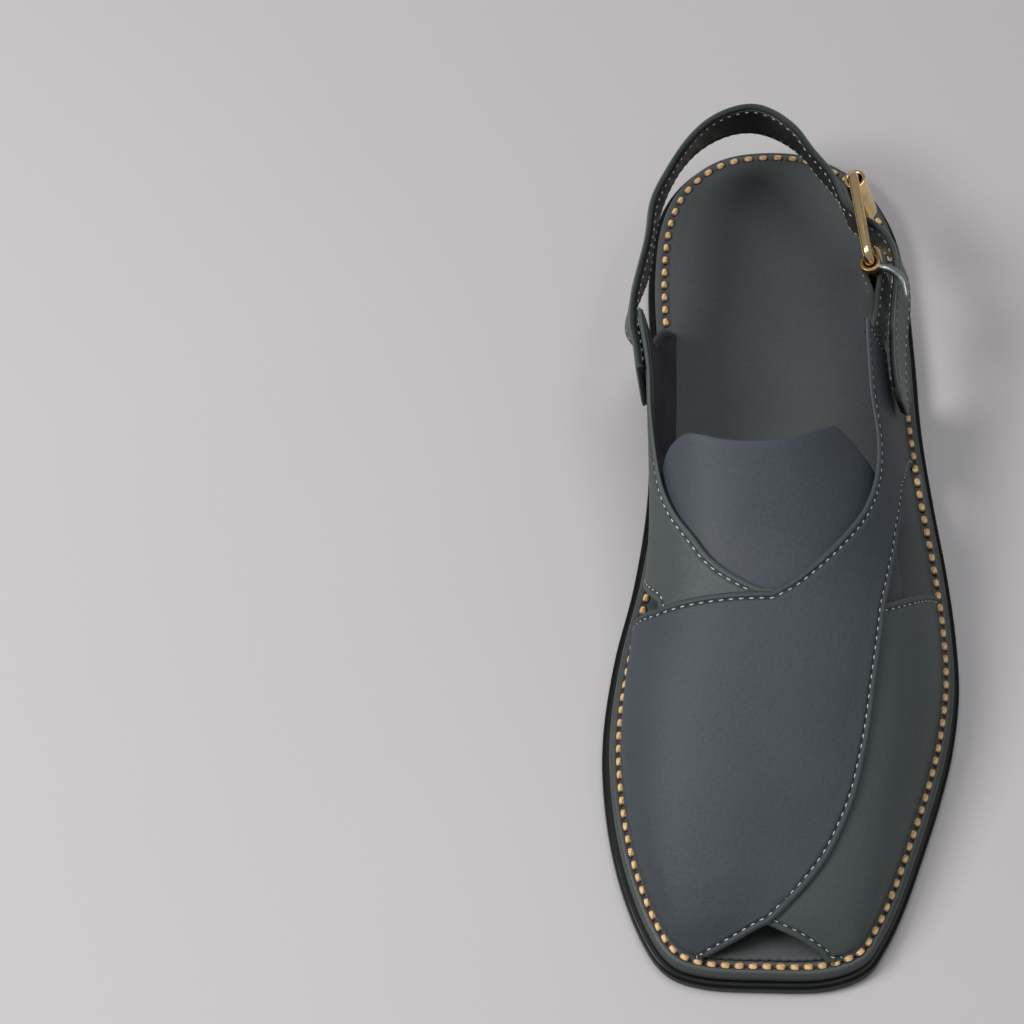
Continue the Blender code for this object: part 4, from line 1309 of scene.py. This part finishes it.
def build_loop(axes, materials):
    """Folded leather round the front bar, its two layers sewn together along the tail."""
    outer = FRAME_ROD + LOOP_CLEARANCE + LOOP_WALL
    tail = LOOP_WALL + LOOP_TAIL_GAP

    def layer(side):
        points = []
        for share in LOOP_TAIL_SHARES:
            flare = (outer - tail) * max(0.0, LOOP_FLARE - share) / LOOP_FLARE
            points.append((-LOOP_TAIL * share, side * (tail + flare) - LOOP_BEND * share ** 2))
        return points

    bend = [math.radians(LOOP_TURN * (k / LOOP_STEPS - 0.5)) for k in range(LOOP_STEPS + 1)]
    bend = [(outer * math.cos(turn), outer * math.sin(turn)) for turn in bend]
    path = open_curve(layer(-1) + bend + layer(1)[::-1], 3)
    low = -FRAME_HEIGHT / 2 + FRAME_CORNER + LOOP_LIFT
    heights = low + LOOP_HEIGHT * both_halves(LOOP_SHARES)
    bm = grid_mesh(np.array([[axes.at(rear, out, height) for height in heights]
                             for rear, out in path]))
    centre = Vector(axes.at(-LOOP_TAIL / 2, -LOOP_BEND / 4, low + LOOP_HEIGHT / 2))
    turn_faces(bm, lambda face: face.normal.dot(face.calc_center_median() - centre))
    rim, _ = rim_layer(bm, lambda e: True)
    bm.normal_update()
    frames = fine_seam(contour(bm, rim, SEAM_INSET / MM))
    loop = walled_piece("buckle_loop_leather", bm, LOOP_WALL,
                        [materials["strap"], materials["lining"], materials["cut_dark"]])
    stitches = thread_piece("loop_stitches", frames, FINE_BALL, materials["grey_thread"])
    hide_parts("buckle_loop")
    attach(loop, "shoe")
    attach(stitches, "shoe")


def build_prong(axes, materials):
    """Steel prong turned forward, its eye round the front bar."""
    top = FRAME_HEIGHT / 2 - FRAME_CORNER
    radius = FRAME_ROD + PRONG_CLEARANCE + PRONG_EYE_WALL
    eye = ring_about("prong_eye", axes, 0.0, radius, PRONG_EYE_WALL, top - PRONG_HEIGHT, top,
                     0.5 * MM, [materials["dull_gold"]] * 2)
    level = top - PRONG_HEIGHT / 2
    line = open_curve([axes.at(rear * PRONG_REACH, out * PRONG_REACH, level + up * PRONG_ROD)
                       for rear, out, up in PRONG_SHAPE], 8)
    radii = PRONG_ROD * np.interp(np.linspace(0, 1, len(line)), *PRONG_RADII)
    prong = rod("buckle_prong_steel", line, radii, False, materials["steel"])
    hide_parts("buckle_prong")
    for piece in (eye, prong):
        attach(piece, "prong")


def add_light(name, place, target, size, power, color):
    light = bpy.data.lights.new(name, "AREA")
    light.shape = "DISK"
    light.size = size
    light.energy = power
    light.color = color
    obj = linked(name, light)
    obj.location = place
    obj.rotation_euler = (Vector(target) - Vector(place)).to_track_quat("-Z", "Y").to_euler()


def build_stage():
    bm = bmesh.new()
    bmesh.ops.create_grid(bm, x_segments=8, y_segments=8, size=4.0)
    floor = finish_piece("floor", bm, [pale_floor("pale_floor")])
    world = bpy.data.worlds.new("studio")
    bpy.context.scene.world = world
    world.use_nodes = True
    background = world.node_tree.nodes["Background"]
    background.inputs["Color"].default_value = (0.95, 0.97, 1.0, 1.0)
    background.inputs["Strength"].default_value = 0.26
    add_light("soft_key", (-0.80, -0.15, 0.95), (-0.05, -0.10, 0.0), 0.5, 11.0, (1.0, 0.99, 0.98))
    add_light("soft_top", (0.05, 0.15, 1.30), (0.0, 0.0, 0.0), 0.9, 6.5, (1.0, 0.99, 1.0))


def build_camera():
    camera = bpy.data.cameras.new("photo_view")
    camera.lens = 112.5
    camera.sensor_width = 36.0
    camera.clip_start = 0.02
    obj = linked("photo_view", camera)
    obj.location = (-0.0819, -0.4600, 0.8906)
    obj.rotation_euler = (math.radians(28.0), 0.0, 0.0)
    bpy.context.scene.camera = obj


def build_materials():
    return {
        "panel": leather("panel_grey", (0.042, 0.053, 0.062), (0.035, 0.044, 0.051), 0.60,
                         seam=0.8),
        "panel_green": leather("panel_green", (0.054, 0.069, 0.067), (0.045, 0.057, 0.055), 0.56,
                               seam=0.8),
        "tongue": leather("tongue_smooth", (0.045, 0.055, 0.066), (0.038, 0.046, 0.057), 0.58,
                          grain=0.06 * MM),
        "strap": leather("strap_green", (0.066, 0.078, 0.076), (0.050, 0.060, 0.058), 0.46,
                         seam=0.8),
        "welt": leather("welt_dark", (0.055, 0.063, 0.060), (0.043, 0.050, 0.047), 0.44,
                        grain=0.07 * MM),
        "footbed": leather("footbed_dark", (0.050, 0.057, 0.057), (0.042, 0.048, 0.048), 0.56),
        "lining": suede("lining_suede", (0.062, 0.058, 0.070), (0.040, 0.038, 0.047)),
        "cut": suede("cut_edge_light", (0.105, 0.120, 0.120), (0.060, 0.068, 0.068)),
        "cut_dark": suede("cut_edge_dark", (0.045, 0.053, 0.052), (0.026, 0.031, 0.030)),
        "gloss_lining": gloss_lining("black_lining"),
        "rubber": scored_rubber("black_rubber"),
        "gold_thread": waxed_thread("gold_thread", (0.62, 0.38, 0.12), (0.17, 0.070, 0.020), 1.6,
                                    3),
        "white_thread": waxed_thread("white_thread", (0.66, 0.69, 0.68), (0.30, 0.32, 0.32), 1.2,
                                     2),
        "grey_thread": waxed_thread("grey_thread", (0.44, 0.48, 0.46), (0.16, 0.18, 0.17), 1.2, 2),
        "gold": metal("gold_plate", (0.88, 0.64, 0.32), (0.40, 0.22, 0.09), 0.16, 0.6),
        "dull_gold": metal("gold_dull", (0.30, 0.20, 0.09), (0.12, 0.07, 0.03), 0.34, 0.8),
        "steel": metal("steel_plate", (0.36, 0.38, 0.38), (0.18, 0.18, 0.175), 0.26, 0.5),
    }


def main():
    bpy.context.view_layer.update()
    materials = build_materials()
    last = Last()
    axes = BuckleAxes(last.middle)
    build_outsole(materials["rubber"])
    build_sole_channel(materials["grey_thread"])
    build_board(materials["welt"])
    build_footbed(materials["footbed"])
    build_welt_thread(materials["gold_thread"])
    build_upper(last, materials)
    build_tongue(last, materials)
    build_strap(last, axes, materials)
    build_frame(axes, materials["gold"])
    build_roller(axes, materials)
    build_loop(axes, materials)
    build_prong(axes, materials)
    build_stage()
    build_camera()
    bpy.context.scene.view_settings.view_transform = "Standard"


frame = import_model()
main()
